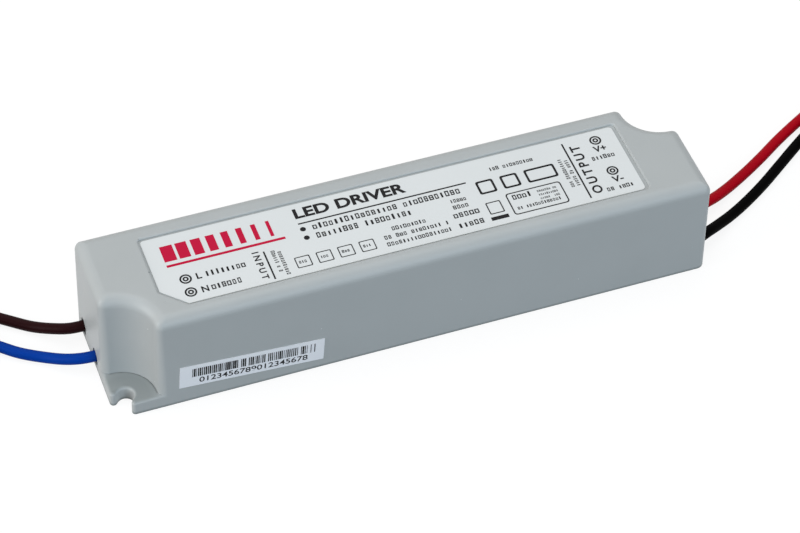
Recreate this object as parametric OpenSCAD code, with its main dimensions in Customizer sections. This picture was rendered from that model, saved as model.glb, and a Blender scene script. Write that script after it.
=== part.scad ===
// Potted LED driver: a moulded tub with two screw ears, sealed round its circuit,
// with two mains leads at the -X end and two output leads at the +X end.
// The origin is at the middle of the underside, X runs along the case and Z is up.

/* [Case] */
// Length of the case at its base
case_l = 134; // [120:1:180]
// Width of the case at its base
case_w = 30; // [27:0.5:45]
// Height of the case
case_h = 25.4; // [22.5:0.1:36]
// Thickness of the side walls
wall = 2; // [1.6:0.1:2.6]
// Thickness of the roof
roof = 2.4; // [1.8:0.1:3.5]
// Lean of the walls, in degrees
draft = 1.25; // [0.25:0.25:2]
// Radius of the upright corners
corner_r = 1.8; // [0.8:0.1:3]
// Radius of the top edge
top_r = 2.6; // [1:0.1:3.4]

/* [Screw ears] */
// Thickness of the ears
ear_h = 3.5; // [2.5:0.1:5]
// Radius of the round hollow above each ear
hollow_r = 7.6; // [6:0.1:9]
// Distance of the hollow's axis from both sides of its corner
hollow_in = 1.9; // [1:0.1:2.6]
// Radius where the hollow runs out into the walls
lip_r = 1.6; // [0.8:0.1:2.4]
// Width of the screw slot
slot_w = 3.7; // [3:0.1:4.6]
// Distance of the slot's round end from both sides of its corner
slot_in = 3.05; // [2.4:0.05:4]
// Radius of the tips beside the slot
tip_r = 0.8; // [0.5:0.1:1]

/* [Base plate] */
// Thickness of the plate that closes the underside
base_t = 1.2; // [0.8:0.1:1.4]
// Width of the rim that the case keeps round the plate
base_rim = 1; // [0.6:0.1:1.4]
// Gap round the plate
base_gap = 0.1; // [0.05:0.05:0.3]

/* [Labels] */
// Depth of the recess for the rating label
recess_d = 0.5; // [0.3:0.1:1]
// Distance of the recess from the input end of the case
recess_left = 13.1; // [12:0.1:25]
// Distance of the recess from the output end of the case
recess_right = 14; // [13:0.1:25]
// Distance of the recess from the back of the case
recess_back = 5.5; // [4.5:0.1:9]
// Distance of the recess from the front of the case
recess_front = 4.2; // [4:0.1:9]
// Size of the recess's cut corner
recess_cut = 4.9; // [2:0.1:8]
// Radius of the recess's other corners
recess_r = 0.8; // [0.3:0.1:2]
// Thickness of the rating label
label_t = 0.2; // [0.1:0.05:0.4]
// Gap between the rating label and the recess's wall
label_gap = 0.3; // [0.1:0.05:0.6]
// Length of the serial label
serial_l = 31.7; // [20:0.1:45]
// Height of the serial label
serial_h = 6.1; // [4:0.1:9]
// Thickness of the serial label
serial_t = 0.12; // [0.08:0.01:0.2]
// Distance of the serial label's middle from the input end
serial_x = 30; // [20:0.5:60]
// Height of the serial label's middle
serial_z = 6.7; // [5:0.1:12]
// Turn of the serial label, which is stuck on by hand
serial_turn = 3.9; // [0:0.1:6]

/* [Leads] */
// Diameter over a lead's insulation
lead_d = 2.45; // [2:0.05:2.6]
// Diameter of a lead's copper core
core_d = 1.1; // [0.8:0.05:1.4]
// Free length of each lead's insulation
lead_l = 180; // [160:5:200]
// Length of the stripped and tinned end
strip_l = 7; // [4:0.5:10]
// Height of the leads' axes where they leave the case
lead_z = 3.4; // [3:0.1:4.5]
// Distance between the two leads of a pair
lead_pitch = 9; // [6:0.5:11]
// Distance of each pair's middle from the middle of the case
lead_offset = 5; // [4:0.5:6]
// Width of a lead hole
hole_w = 2.9; // [2.7:0.1:3.4]
// Height of a lead hole's top above the lead's axis
hole_up = 1.6; // [1.5:0.1:2]
// Depth of a lead hole's foot below the lead's axis
hole_down = 1.9; // [1.6:0.1:2]
// Length of insulation inside the case
lead_in = 5.5; // [4:0.5:7]
// Length of core soldered under the board
core_in = 4; // [3:0.5:5]

/* [Lead coils] */
// Radius of the inner lead of a coiled pair
coil_r = 13.2; // [12.5:0.1:14]
// Distance between turns that lie beside or on each other
turn_pitch = 2.55; // [2.5:0.01:2.7]
// Thickness of the tie's strip
tie_t = 0.4; // [0.3:0.05:0.6]
// Width of the tie's strip
tie_w = 3.6; // [2.5:0.1:5]
// Length of the tie's twisted ends
tie_tail = 9; // [6:0.5:12]

/* [Circuit board] */
// Thickness of the board
board_t = 1.6; // [1:0.1:2]
// Gap between the board and the side walls
board_gap = 0.4; // [0.2:0.1:0.8]
// Distance of the board's ends from the ends of the case
board_end = 6; // [5.6:0.1:8]
// Height of a solder joint
joint_h = 0.9; // [0.5:0.1:1.2]
// Diameter of a solder joint
joint_d = 2; // [1.4:0.1:2.4]

/* [Input parts] */
// Diameter of the fuse
fuse_d = 4; // [3:0.1:5]
// Length of the fuse
fuse_l = 11; // [8:0.5:12]
// Diameter of the varistor's disc
varistor_d = 10; // [7:0.5:12]
// Diameter of the thermistor's disc
thermistor_d = 8; // [6:0.5:10]
// Thickness of the disc parts
disc_t = 3.6; // [2.5:0.1:4]
// Length of the filter capacitor
filter_l = 13; // [10:0.5:14]
// Width of the filter capacitor
filter_w = 5.5; // [4:0.5:6]
// Height of the filter capacitor
filter_h = 11; // [8:0.5:13]
// Diameter of the choke's core
choke_d = 12; // [10:0.5:13]
// Diameter of the hole in the choke's core
choke_hole = 6.5; // [5:0.5:7.5]
// Height of the choke's core
choke_h = 6; // [4:0.5:8]
// Thickness of the choke's windings
choke_wire = 1.2; // [0.6:0.1:1.5]
// Length of the bridge rectifier
bridge_l = 8.5; // [6:0.5:10]
// Width of the bridge rectifier
bridge_w = 6; // [4:0.5:6.5]
// Height of the bridge rectifier
bridge_h = 2.8; // [2:0.1:4]
// Diameter of the bulk capacitor
bulk_d = 13; // [10:0.5:14]
// Length of the bulk capacitor
bulk_l = 20; // [16:1:22]

/* [Power parts] */
// Length of a heat sink
sink_l = 18; // [14:0.5:20]
// Height of a heat sink
sink_h = 12; // [10:0.5:14]
// Thickness of a heat sink
sink_t = 1.5; // [1:0.1:2]
// Width of a heat sink's foot
sink_foot = 4; // [3:0.1:5]
// Width of a transistor or rectifier package
package_w = 10; // [8:0.5:11]
// Height of a package's body
package_h = 8; // [6:0.5:9]
// Thickness of a package's body
package_t = 3.2; // [2.5:0.1:4]
// Thickness of a package's metal tab
tab_t = 1.2; // [0.8:0.1:1.5]
// Length of the transformer's core along the case
core_l = 20; // [16:0.5:22]
// Width of the transformer's core
core_w = 20; // [18:0.5:22]
// Thickness of the transformer's core
core_t = 6; // [5:0.5:6]
// Width of the core's outer legs and ends
core_leg = 3.4; // [2.5:0.1:4]
// Wall of the bobbin
bobbin_t = 0.7; // [0.5:0.1:1]
// Thickness of the bobbin's winding
winding_t = 2.4; // [1.5:0.1:2.6]
// Length of the controller chip
chip_l = 5; // [4:0.5:6]
// Width of the controller chip
chip_w = 4; // [3:0.5:5]
// Height of the controller chip
chip_h = 1.4; // [1:0.1:1.6]

/* [Output parts] */
// Diameter of an output capacitor
output_cap_d = 9; // [6:0.5:10]
// Height of an output capacitor
output_cap_h = 13; // [10:0.5:14]
// Diameter of the safety capacitor's disc
safety_d = 8; // [6:0.5:9]
// Length of the optocoupler
opto_l = 4.6; // [4:0.1:6]
// Width of the optocoupler
opto_w = 6.4; // [5:0.1:7]
// Height of the optocoupler
opto_h = 3.5; // [3:0.1:4]
// Diameter of the output choke
drum_d = 8; // [6:0.5:9]
// Height of the output choke
drum_h = 9; // [6:0.5:11]
// Diameter of a resistor
resistor_d = 2.4; // [1.6:0.1:3]
// Length of a resistor
resistor_l = 6.5; // [4:0.5:7]

/* [Hidden] */
$fn = 48;

// Running clearances and cutting allowances
seat_gap = 0.02;
fill_gap = 0.05;
cut = 1;

// Smallest radius that a shrinking corner keeps
min_r = 0.3;
lip_steps = 4;
hollow_steps = 10;
corner_steps = 5;
edge_steps = 5;
tip_steps = 4;
slot_steps = 10;

lean = tan(draft);
end_x = case_l / 2;
side_y = case_w / 2;
cavity_top = case_h - roof;

// Outline of the case, moved inwards by d
function arc(c, r, a0, a1, n) = [for (i = [0:n]) c + r * [cos(a0 + (a1 - a0) * i / n), sin(a0 + (a1 - a0) * i / n)]];
function inner_points(points) = [for (i = [1:len(points) - 2]) points[i]];
function hollow_axis() = [hollow_in - end_x, hollow_in - side_y];
function lip(d) = max(lip_r - d, min_r);
function lip_reach(d) = sqrt(pow(hollow_r + d + lip(d), 2) - pow(lip(d) + d - hollow_in, 2));
function lip_turn(d) = atan2(lip(d) + d - hollow_in, lip_reach(d));
function half_outline(d) = let (
        s = hollow_axis(),
        r = lip(d),
        rc = max(corner_r - d, min_r),
        w = lip_turn(d)
    ) concat(
        arc([d + r - end_x, s.y + lip_reach(d)], r, 180, 270 - w, lip_steps),
        inner_points(arc(s, hollow_r + d, 90 - w, w, hollow_steps)),
        arc([s.x + lip_reach(d), d + r - side_y], r, 180 + w, 270, lip_steps),
        arc([end_x - d - rc, d + rc - side_y], rc, 270, 360, corner_steps)
    );
function outline(d) = let (half = half_outline(d)) concat(half, -half);

// A solid through outlines of equal length, each with its own height
function at_height(points, z) = [for (p = points) [p.x, p.y, z]];
function flat(lists) = [for (l = lists) each l];
module loft(rings) {
    n = len(rings[0]);
    last = (len(rings) - 1) * n;
    bottom = [for (i = [0:n - 1]) i];
    top = [for (i = [n - 1:-1:0]) last + i];
    sides = flat([for (k = [0:len(rings) - 2]) flat([for (i = [0:n - 1]) let (
            a = k * n + i,
            b = k * n + (i + 1) % n
        ) [[a, b + n, b], [a, a + n, b + n]]])]);
    polyhedron(points = flat(rings), faces = concat([bottom], sides, [top]));
}

// Rings of a leaning wall that ends in a rounded top edge
function edge_rings() = let (z = case_h - top_r) [for (i = [0:edge_steps]) let (a = 90 * i / edge_steps)
    [z + top_r * sin(a), z * lean + top_r * (1 - cos(a))]];

module case_body() {
    rings = concat([[0, 0]], edge_rings());
    loft([for (ring = rings) at_height(outline(ring[1]), ring[0])]);
}

// A screw ear in the front left corner, rooted in the wall behind its hollow and a hair inside the case's sides
ear_root = hollow_in + lip_reach(0) + lip_r / 2;
function ear_outline() = let (
        corner = [-end_x, -side_y],
        half_w = slot_w / 2,
        side = ear_h * lean + seat_gap,
        reach = side + tip_r,
        tip_at = reach + sqrt(2) * (half_w + tip_r),
        slot = corner + [slot_in, slot_in],
        inside = base_rim / 2
    ) concat(
        [corner + [side, ear_root]],
        arc(corner + [reach, tip_at], tip_r, 180, 315, tip_steps),
        arc(slot, half_w, 135, -45, slot_steps),
        arc(corner + [tip_at, reach], tip_r, 135, 270, tip_steps),
        [corner + [ear_root, side], corner + [ear_root, inside]],
        arc(hollow_axis(), hollow_r + inside, 0, 90, hollow_steps),
        [corner + [inside, ear_root]]
    );
module ear() {
    translate([0, 0, seat_gap])
        linear_extrude(height = ear_h - seat_gap)
            polygon(ear_outline());
}

// The space inside the walls, moved inwards by gap
module cavity(gap, z0, z1) {
    loft([for (z = [z0, z1]) at_height(outline(wall + gap + z * lean), z)]);
}

// Rectangle between two corners with its own corner radius and a cut front left corner
function label_outline(gap) = let (
        x0 = recess_left - end_x + gap,
        x1 = end_x - recess_right - gap,
        y0 = recess_front - side_y + gap,
        y1 = side_y - recess_back - gap,
        r = recess_r
    ) concat(
        [[x0, y0 + recess_cut], [x0 + recess_cut, y0]],
        arc([x1 - r, y0 + r], r, 270, 360, corner_steps),
        arc([x1 - r, y1 - r], r, 0, 90, corner_steps),
        arc([x0 + r, y1 - r], r, 90, 180, corner_steps)
    );

// Leads: each has its place in an end wall, a route from there and a coil
lead_r = lead_d / 2;
core_r = core_d / 2;
brown_y = lead_offset + lead_pitch / 2;
blue_y = lead_offset - lead_pitch / 2;
brown_exit = [-end_x, brown_y];
blue_exit = [-end_x, blue_y];
red_exit = [end_x, -blue_y];
black_exit = [end_x, -brown_y];

// Route points along each lead: how far past its exit, how far across, and how high
brown_steps = [[-3, 0.3, 3.3], [-6, 2, 2.5], [-10, 5, 1.4], [-14.5, 8.5, 1.3], [-19.5, 12.4, 1.3],
    [-25, 15.7, 1.4], [-31, 17.6, 1.5]];
blue_steps = [[-3, 0.4, 3.25], [-6, 2, 2.4], [-10, 4.9, 1.4], [-14.5, 7.8, 1.3], [-18.5, 11.3, 1.3],
    [-24, 15.8, 1.4], [-29.5, 19.7, 1.5]];
red_steps = [[4.5, 0.3, 3.2], [9, 2.1, 2.3], [13.5, 4.6, 1.4], [19, 7.6, 1.3], [25, 11.2, 1.3],
    [31, 15.1, 1.3], [37.5, 18.9, 1.3], [44, 22.3, 1.4], [50, 24.9, 1.5]];
black_steps = [[3.5, 1.3, 3.4], [6.5, 3, 2.6], [11, 5.6, 1.6], [15.5, 8.2, 1.3], [21.7, 12.1, 1.3],
    [28, 16.6, 1.3], [34.5, 21.3, 1.3], [40.5, 25.3, 1.4], [47, 29.1, 1.5]];

// Coils: middle, radius, angle where the lead comes in, direction of turning, turn on the lower layer
input_coil = [-end_x - 41, 12];
output_coil = [end_x + 59, 10.5];
outer_r = coil_r + turn_pitch;
brown_wind = [input_coil, outer_r, 80, 1, 270];
blue_wind = [input_coil, coil_r, 60, 1, 290];
red_wind = [output_coil, outer_r, 104, -1, 270];
black_wind = [output_coil, coil_r, 115, -1, 290];
input_tie_at = 150;
output_tie_at = 70;
tie_gap = 0.05;
coil_z = tie_t + tie_gap;
low_z = coil_z + lead_r;
high_z = low_z + turn_pitch;

function coil_entry(wind) = [
    wind[0].x + wind[1] * cos(wind[2]),
    wind[0].y + wind[1] * sin(wind[2]),
    low_z
];
function free_route(exit, steps, wind) = concat(
    [[exit.x, exit.y, lead_z]],
    [for (p = steps) [exit.x + p.x, exit.y + p.y, p.z]],
    [coil_entry(wind)]
);
function inward(exit) = exit.x > 0 ? -1 : 1;
function whole_route(exit, steps, wind) = concat(
    [[exit.x + inward(exit) * lead_in, exit.y, lead_z]],
    free_route(exit, steps, wind)
);
function run(points, i = 0) = i + 1 >= len(points) ? 0 : norm(points[i + 1] - points[i]) + run(points, i + 1);
function coil_turn(exit, steps, wind) = (lead_l - run(free_route(exit, steps, wind))) / wind[1] * 180 / PI;

// A round tube swept along points that never climb steeply
tube_sides = 8;
function unit(v) = v / norm(v);
function heading(points, i) = unit(points[min(i + 1, len(points) - 1)] - points[max(i - 1, 0)]);
function tube_ring(points, i, r) = let (
        along = heading(points, i),
        across = unit(cross(along, [0, 0, 1])),
        up = cross(across, along)
    ) [for (k = [0:tube_sides - 1]) let (a = 360 * k / tube_sides) points[i] + r * (cos(a) * across - sin(a) * up)];
module tube(points, r) {
    loft([for (i = [0:len(points) - 1]) tube_ring(points, i, r)]);
}

module free_lead(exit, steps, wind) {
    difference() {
        tube(whole_route(exit, steps, wind), lead_r);
        translate([wind[0].x, wind[0].y, -cut])
            cylinder(r = wind[1] + lead_r + seat_gap, h = high_z + lead_d + cut);
    }
}

// A stretch of a coil from one angle of turning to another
module coil_arc(wind, from, to) {
    start = wind[3] > 0 ? wind[2] + from : wind[2] - to;
    translate([wind[0].x, wind[0].y, 0])
        rotate([0, 0, start])
            rotate_extrude(angle = to - from)
                children();
}
module lead_coil(exit, steps, wind) {
    coil_arc(wind, 0, wind[4])
        translate([wind[1], low_z])
            circle(r = lead_r);
    coil_arc(wind, wind[4], coil_turn(exit, steps, wind))
        translate([wind[1], high_z])
            circle(r = lead_r);
}
module lead_core(exit, steps, wind) {
    done = coil_turn(exit, steps, wind);
    coil_arc(wind, done, done + strip_l / wind[1] * 180 / PI)
        translate([wind[1], high_z])
            circle(r = core_r);
    core_stub(exit, core_r);
}
module core_stub(exit, r) {
    translate([exit.x + inward(exit) * lead_in, exit.y, lead_z])
        rotate([0, inward(exit) * 90, 0])
            cylinder(r = r, h = core_in);
}

// A strip round a coiled pair with its two ends twisted together
module tie(middle, at) {
    spread = tie_w / coil_r * 180 / PI;
    inner = coil_r - lead_r - tie_gap;
    across = turn_pitch + lead_d + 2 * tie_gap;
    up = turn_pitch + lead_d + 2 * tie_gap;
    tail_r = coil_r + turn_pitch / 2;
    tail_w = 1.7;
    tail_t = 2 * tie_t;
    translate([middle.x, middle.y, 0])
        rotate([0, 0, at]) {
            rotate([0, 0, -spread / 2])
                rotate_extrude(angle = spread)
                    difference() {
                        translate([inner - tie_t, 0])
                            square([across + 2 * tie_t, up + 2 * tie_t]);
                        translate([inner, tie_t])
                            square([across, up]);
                    }
            translate([tail_r, 0, up + 2 * tie_t + tail_t / 2])
                cube([tail_w, tie_w, tail_t], center = true);
            translate([tail_r, tie_w / 2, up + 2 * tie_t + tail_w / 2])
                rotate([-90, 0, 0])
                    linear_extrude(height = tie_tail, twist = 540, slices = 15, $fn = 4)
                        square([tail_w, tail_t], center = true);
        }
}

module obround_hole(exit, gap, depth) {
    r = hole_w / 2 - gap;
    up = hole_up - gap - r;
    down = hole_down - gap - r;
    translate([exit.x, exit.y, lead_z])
        rotate([0, inward(exit) * 90, 0]) {
            for (z = [-up, down])
                translate([inward(exit) * z, 0, 0])
                    cylinder(r = r, h = depth);
            translate([inward(exit) > 0 ? -up : -down, -r, 0])
                cube([up + down, 2 * r, depth]);
        }
}
exits = [brown_exit, blue_exit, red_exit, black_exit];

// The board lies just above the leads' cores
core_gap = 0.15;
board_z = lead_z + core_r + core_gap;
board_top = board_z + board_t;

// Places of the parts on the board: the input parts follow each other from the -X end,
// the output parts from the +X end, and the transformer is midway between them
row_gap = 1;
back_row = side_y - wall - board_gap - row_gap;
front_row = -back_row;
parts_start = hollow_in + hollow_r + wall;
fuse_at = [parts_start + fuse_l / 2 - end_x, back_row - fuse_d / 2];
varistor_at = [fuse_at.x, fuse_at.y - fuse_d / 2 - row_gap - disc_t / 2];
thermistor_at = [fuse_at.x, varistor_at.y - disc_t - row_gap];
filter_at = [parts_start + 3 * row_gap + filter_l / 2 - end_x, front_row + filter_w / 2];
bridge_at = [filter_at.x + (filter_l + bridge_l) / 2 + row_gap, front_row + bridge_w / 2];
choke_at = [bridge_at.x, back_row - choke_d / 2 - choke_wire];
bulk_start = choke_at.x + choke_d / 2 + choke_wire + row_gap;
bulk_y = back_row - bulk_d / 2;
primary_at = [bulk_start + bulk_l / 2, front_row];
output_at = [end_x - board_end - 6 * row_gap - safety_d - sink_l / 2, front_row];
output_caps_at = [output_at.x, back_row - output_cap_d / 2];
output_caps_pitch = output_cap_d + row_gap;
transformer_x = (bulk_start + bulk_l + output_caps_at.x - output_caps_pitch / 2 - output_cap_d / 2) / 2;
safety_at = [output_at.x + sink_l / 2 + row_gap + safety_d / 2, front_row + disc_t / 2];
output_row = max(opto_w, drum_d);
opto_at = [output_at.x + (package_w + row_gap + opto_l) / 2, safety_at.y + (disc_t + output_row) / 2 + row_gap];
drum_at = [opto_at.x + (opto_l + row_gap + drum_d) / 2, opto_at.y];
resistors_at = [output_caps_at.x + (output_caps_pitch + output_cap_d + row_gap + resistor_l) / 2,
    opto_at.y + (output_row + resistor_d) / 2 + row_gap];

module on_board(at, size) {
    translate([at.x - size.x / 2, at.y - size.y / 2, board_top])
        cube(size);
}
module disc(at, d, t) {
    translate([at.x, at.y - t / 2, board_top + d / 2])
        rotate([-90, 0, 0])
            cylinder(d = d, h = t);
}

// Bolted plate with a foot, and a power package on its inner face
module heat_sink(at) {
    on_board([at.x, at.y + sink_t / 2], [sink_l, sink_t, sink_h]);
    on_board([at.x, at.y + sink_foot / 2], [sink_l, sink_foot, sink_t]);
}
module power_package(at) {
    tab_rise = sink_t + seat_gap;
    tab_h = sink_h - tab_rise - 1;
    y = at.y + sink_t;
    translate([at.x - package_w / 2, y, board_top + tab_rise])
        cube([package_w, tab_t, tab_h]);
    translate([at.x - package_w / 2, y + tab_t, board_top + tab_rise])
        cube([package_w, package_t, package_h]);
}

// Radial can with the rolled groove of an electrolytic capacitor
can_groove = 0.5;
can_rim = 1.5;
can_bevel = 0.6;
module capacitor_can(d, h) {
    rotate_extrude()
        polygon([[0, 0], [d / 2, 0], [d / 2, can_rim], [d / 2 - can_groove, can_rim + can_groove],
            [d / 2, can_rim + 2 * can_groove], [d / 2, h - can_bevel], [d / 2 - can_bevel, h], [0, h]]);
}

// Transformer: the core's middle leg carries the bobbin, and the bobbin carries the winding
bobbin_foot = 2.5;
leg = core_t;
window = core_l - 2 * core_leg;
winding_r = leg / 2 + bobbin_t + winding_t;
axis_z = board_top + bobbin_foot + winding_r;
module beam(length, across, high) {
    translate([transformer_x - length / 2, -across / 2, axis_z - high / 2])
        cube([length, across, high]);
}

// Places under the board where a part's wires are soldered
function pair_of(at, spread) = [at - [spread / 2, 0], at + [spread / 2, 0]];
joint_spread = 6;
joints_at = concat(
    pair_of(fuse_at, fuse_l - joint_d),
    pair_of(varistor_at, joint_spread),
    pair_of(thermistor_at, joint_spread),
    pair_of(filter_at, filter_l - joint_d),
    pair_of(choke_at, joint_spread),
    pair_of(bridge_at, joint_spread),
    pair_of([bulk_start + bulk_l / 2, bulk_y], joint_spread),
    pair_of(primary_at + [0, package_t], joint_spread),
    pair_of([transformer_x, core_w / 2 - joint_d], window),
    pair_of([transformer_x, joint_d - core_w / 2], window),
    pair_of(output_at + [0, package_t], joint_spread),
    pair_of(output_caps_at, joint_d + row_gap),
    pair_of(safety_at, joint_spread),
    pair_of(drum_at, joint_spread)
);

module case() {
    color("#aeb3b4")
        difference() {
            union() {
                case_body();
                ear();
                rotate([0, 0, 180])
                    ear();
            }
            cavity(0, base_t - seat_gap, cavity_top);
            translate([0, 0, -cut])
                linear_extrude(height = base_t + cut)
                    polygon(outline(base_rim));
            translate([0, 0, case_h - recess_d])
                linear_extrude(height = recess_d + cut)
                    polygon(label_outline(0));
            for (exit = exits)
                translate([-inward(exit) * cut, 0, 0])
                    obround_hole(exit, 0, wall + 2 * cut);
        }
}

module base_plate() {
    color("#9a9fa1")
        linear_extrude(height = base_t - seat_gap)
            polygon(outline(base_rim + base_gap));
}

module rating_label() {
    color("#dfe3e3")
        translate([0, 0, case_h - recess_d])
            linear_extrude(height = label_t)
                polygon(label_outline(label_gap));
}

module serial_label() {
    color("#d9dce6")
        translate([serial_x - end_x, serial_z * lean - side_y, serial_z])
            rotate([-draft, 0, 0])
                rotate([0, serial_turn, 0])
                    translate([-serial_l / 2, -serial_t - seat_gap / 2, -serial_h / 2])
                        cube([serial_l, serial_t, serial_h]);
}

module circuit_board() {
    color("#2f7d4a")
        translate([0, 0, board_z])
            linear_extrude(height = board_t)
                intersection() {
                    polygon(outline(wall + board_gap + board_top * lean));
                    square([case_l - 2 * board_end, case_w], center = true);
                }
}

module solder_joints() {
    pad = [core_in - 1, joint_d, joint_h];
    color("#c3c7c9") {
        for (p = joints_at)
            translate([p.x, p.y, board_z - joint_h])
                cylinder(d1 = joint_d / 2, d2 = joint_d, h = joint_h);
        for (exit = exits)
            difference() {
                translate([exit.x + inward(exit) * (lead_in + 1 + pad.x / 2), exit.y, board_z - pad.z / 2])
                    cube(pad, center = true);
                core_stub(exit, core_r);
            }
    }
}

module fuse() {
    cap_l = 2.5;
    color("#d8d4c4")
        translate([fuse_at.x - fuse_l / 2, fuse_at.y, board_top + fuse_d / 2])
            rotate([0, 90, 0])
                rotate_extrude()
                    polygon([[0, 0], [fuse_d / 2, 0], [fuse_d / 2, cap_l], [fuse_d / 2 - min_r, cap_l],
                        [fuse_d / 2 - min_r, fuse_l - cap_l], [fuse_d / 2, fuse_l - cap_l],
                        [fuse_d / 2, fuse_l], [0, fuse_l]]);
}

module varistor() {
    color("#3f63a8")
        disc(varistor_at, varistor_d, disc_t);
}

module thermistor() {
    color("#2d4a3a")
        disc(thermistor_at, thermistor_d, disc_t);
}

module filter_capacitor() {
    color("#c9b23a")
        on_board(filter_at, [filter_l, filter_w, filter_h]);
}

module choke_core() {
    color("#3c7a3c")
        translate([choke_at.x, choke_at.y, board_top + choke_wire])
            difference() {
                cylinder(d = choke_d, h = choke_h);
                translate([0, 0, -cut])
                    cylinder(d = choke_hole, h = choke_h + 2 * cut);
            }
}

module choke_windings() {
    spread = 130;
    inner = choke_hole / 2;
    depth = (choke_d - choke_hole) / 2;
    color("#b06a35")
        for (side = [0, 180])
            translate([choke_at.x, choke_at.y, board_top])
                rotate([0, 0, side - spread / 2])
                    rotate_extrude(angle = spread)
                        difference() {
                            translate([inner - choke_wire, 0])
                                square([depth + 2 * choke_wire, choke_h + 2 * choke_wire]);
                            translate([inner - seat_gap, choke_wire - seat_gap])
                                square([depth + 2 * seat_gap, choke_h + 2 * seat_gap]);
                        }
}

module bridge_rectifier() {
    color("#26282a")
        on_board(bridge_at, [bridge_l, bridge_w, bridge_h]);
}

module bulk_capacitor() {
    color("#20242e")
        translate([bulk_start, bulk_y, board_top + bulk_d / 2])
            rotate([0, 90, 0])
                capacitor_can(bulk_d, bulk_l);
}

module primary_heat_sink() {
    color("#a9adb0")
        heat_sink(primary_at);
}

module switch_transistor() {
    color("#2b2d2f")
        power_package(primary_at);
}

module controller_chip() {
    color("#232527")
        translate([transformer_x, 0, board_z - chip_h / 2])
            cube([chip_l, chip_w, chip_h], center = true);
}

module transformer_core() {
    color("#4a4c4f") {
        difference() {
            beam(core_l, core_w, core_t);
            beam(window, core_w - 2 * core_leg, core_t + 2 * cut);
        }
        beam(window, leg, core_t);
    }
}

module transformer_bobbin() {
    flange = core_w - 2 * core_leg - 2 * seat_gap;
    flange_h = 2 * winding_r;
    color("#3a3530")
        difference() {
            union() {
                beam(window - 2 * seat_gap, leg + 2 * bobbin_t, core_t + 2 * bobbin_t);
                for (side = [-1, 1])
                    translate([side * (window - bobbin_t - 2 * seat_gap) / 2, 0, 0])
                        beam(bobbin_t, flange, flange_h);
                for (side = [-1, 1])
                    translate([side * (window - bobbin_foot - 2 * seat_gap) / 2, 0, 0])
                        translate([transformer_x - bobbin_foot / 2, -flange / 2, board_top])
                            cube([bobbin_foot, flange, bobbin_foot]);
            }
            beam(core_l, leg + 2 * seat_gap, core_t + 2 * seat_gap);
        }
}

module transformer_winding() {
    length = window - 2 * bobbin_t - 4 * seat_gap;
    outside = 2 * winding_r;
    color("#d8b13a")
        difference() {
            beam(length, min(outside, core_w - 2 * core_leg - 2 * seat_gap), outside - seat_gap);
            beam(core_l, leg + 2 * bobbin_t + 2 * seat_gap, core_t + 2 * bobbin_t + 2 * seat_gap);
        }
}

module optocoupler() {
    color("#1f2123")
        on_board(opto_at, [opto_l, opto_w, opto_h]);
}

module safety_capacitor() {
    color("#3a6fb0")
        disc(safety_at, safety_d, disc_t);
}

module output_heat_sink() {
    color("#a9adb0")
        heat_sink(output_at);
}

module output_rectifier() {
    color("#2b2d2f")
        power_package(output_at);
}

module output_capacitors() {
    color("#1d3a2a")
        for (side = [-0.5, 0.5])
            translate([output_caps_at.x + side * output_caps_pitch, output_caps_at.y, board_top])
                capacitor_can(output_cap_d, output_cap_h);
}

module output_choke() {
    flange_t = 1.5;
    neck = 1;
    color("#55595c")
        translate([drum_at.x, drum_at.y, board_top])
            rotate_extrude()
                polygon([[0, 0], [drum_d / 2, 0], [drum_d / 2, flange_t], [drum_d / 2 - neck, flange_t],
                    [drum_d / 2 - neck, drum_h - flange_t], [drum_d / 2, drum_h - flange_t],
                    [drum_d / 2, drum_h], [0, drum_h]]);
}

module resistors() {
    color("#c9a27a")
        for (i = [0:1])
            translate([resistors_at.x - resistor_l / 2, resistors_at.y + i * (resistor_d + row_gap),
                board_top + resistor_d / 2])
                rotate([0, 90, 0])
                    cylinder(d = resistor_d, h = resistor_l);
}

// Everything that the sealing compound flows round
module circuit() {
    circuit_board();
    solder_joints();
    fuse();
    varistor();
    thermistor();
    filter_capacitor();
    choke_core();
    choke_windings();
    bridge_rectifier();
    bulk_capacitor();
    primary_heat_sink();
    switch_transistor();
    controller_chip();
    transformer_core();
    transformer_bobbin();
    transformer_winding();
    optocoupler();
    safety_capacitor();
    output_heat_sink();
    output_rectifier();
    output_capacitors();
    output_choke();
    resistors();
    for (exit = exits)
        core_stub(exit, core_r);
}

module potting() {
    plug_in = 0.4;
    color("#26282a")
        difference() {
            union() {
                cavity(fill_gap, base_t, cavity_top - fill_gap);
                for (exit = exits)
                    translate([inward(exit) * plug_in, 0, 0])
                        obround_hole(exit, fill_gap, wall + cut);
            }
            circuit();
            for (exit = exits)
                translate([exit.x, exit.y, lead_z])
                    rotate([0, inward(exit) * 90, 0])
                        cylinder(r = lead_r + fill_gap, h = lead_in);
        }
}

module brown_lead() {
    color("#3b1a17")
        free_lead(brown_exit, brown_steps, brown_wind);
}
module blue_lead() {
    color("#0a46b8")
        free_lead(blue_exit, blue_steps, blue_wind);
}
module red_lead() {
    color("#b00a1c")
        free_lead(red_exit, red_steps, red_wind);
}
module black_lead() {
    color("#111111")
        free_lead(black_exit, black_steps, black_wind);
}

module brown_coil() {
    color("#3b1a17")
        lead_coil(brown_exit, brown_steps, brown_wind);
}
module blue_coil() {
    color("#0a46b8")
        lead_coil(blue_exit, blue_steps, blue_wind);
}
module red_coil() {
    color("#b00a1c")
        lead_coil(red_exit, red_steps, red_wind);
}
module black_coil() {
    color("#111111")
        lead_coil(black_exit, black_steps, black_wind);
}

module brown_core() {
    color("#c9ccce")
        lead_core(brown_exit, brown_steps, brown_wind);
}
module blue_core() {
    color("#c9ccce")
        lead_core(blue_exit, blue_steps, blue_wind);
}
module red_core() {
    color("#c9ccce")
        lead_core(red_exit, red_steps, red_wind);
}
module black_core() {
    color("#c9ccce")
        lead_core(black_exit, black_steps, black_wind);
}

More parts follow.
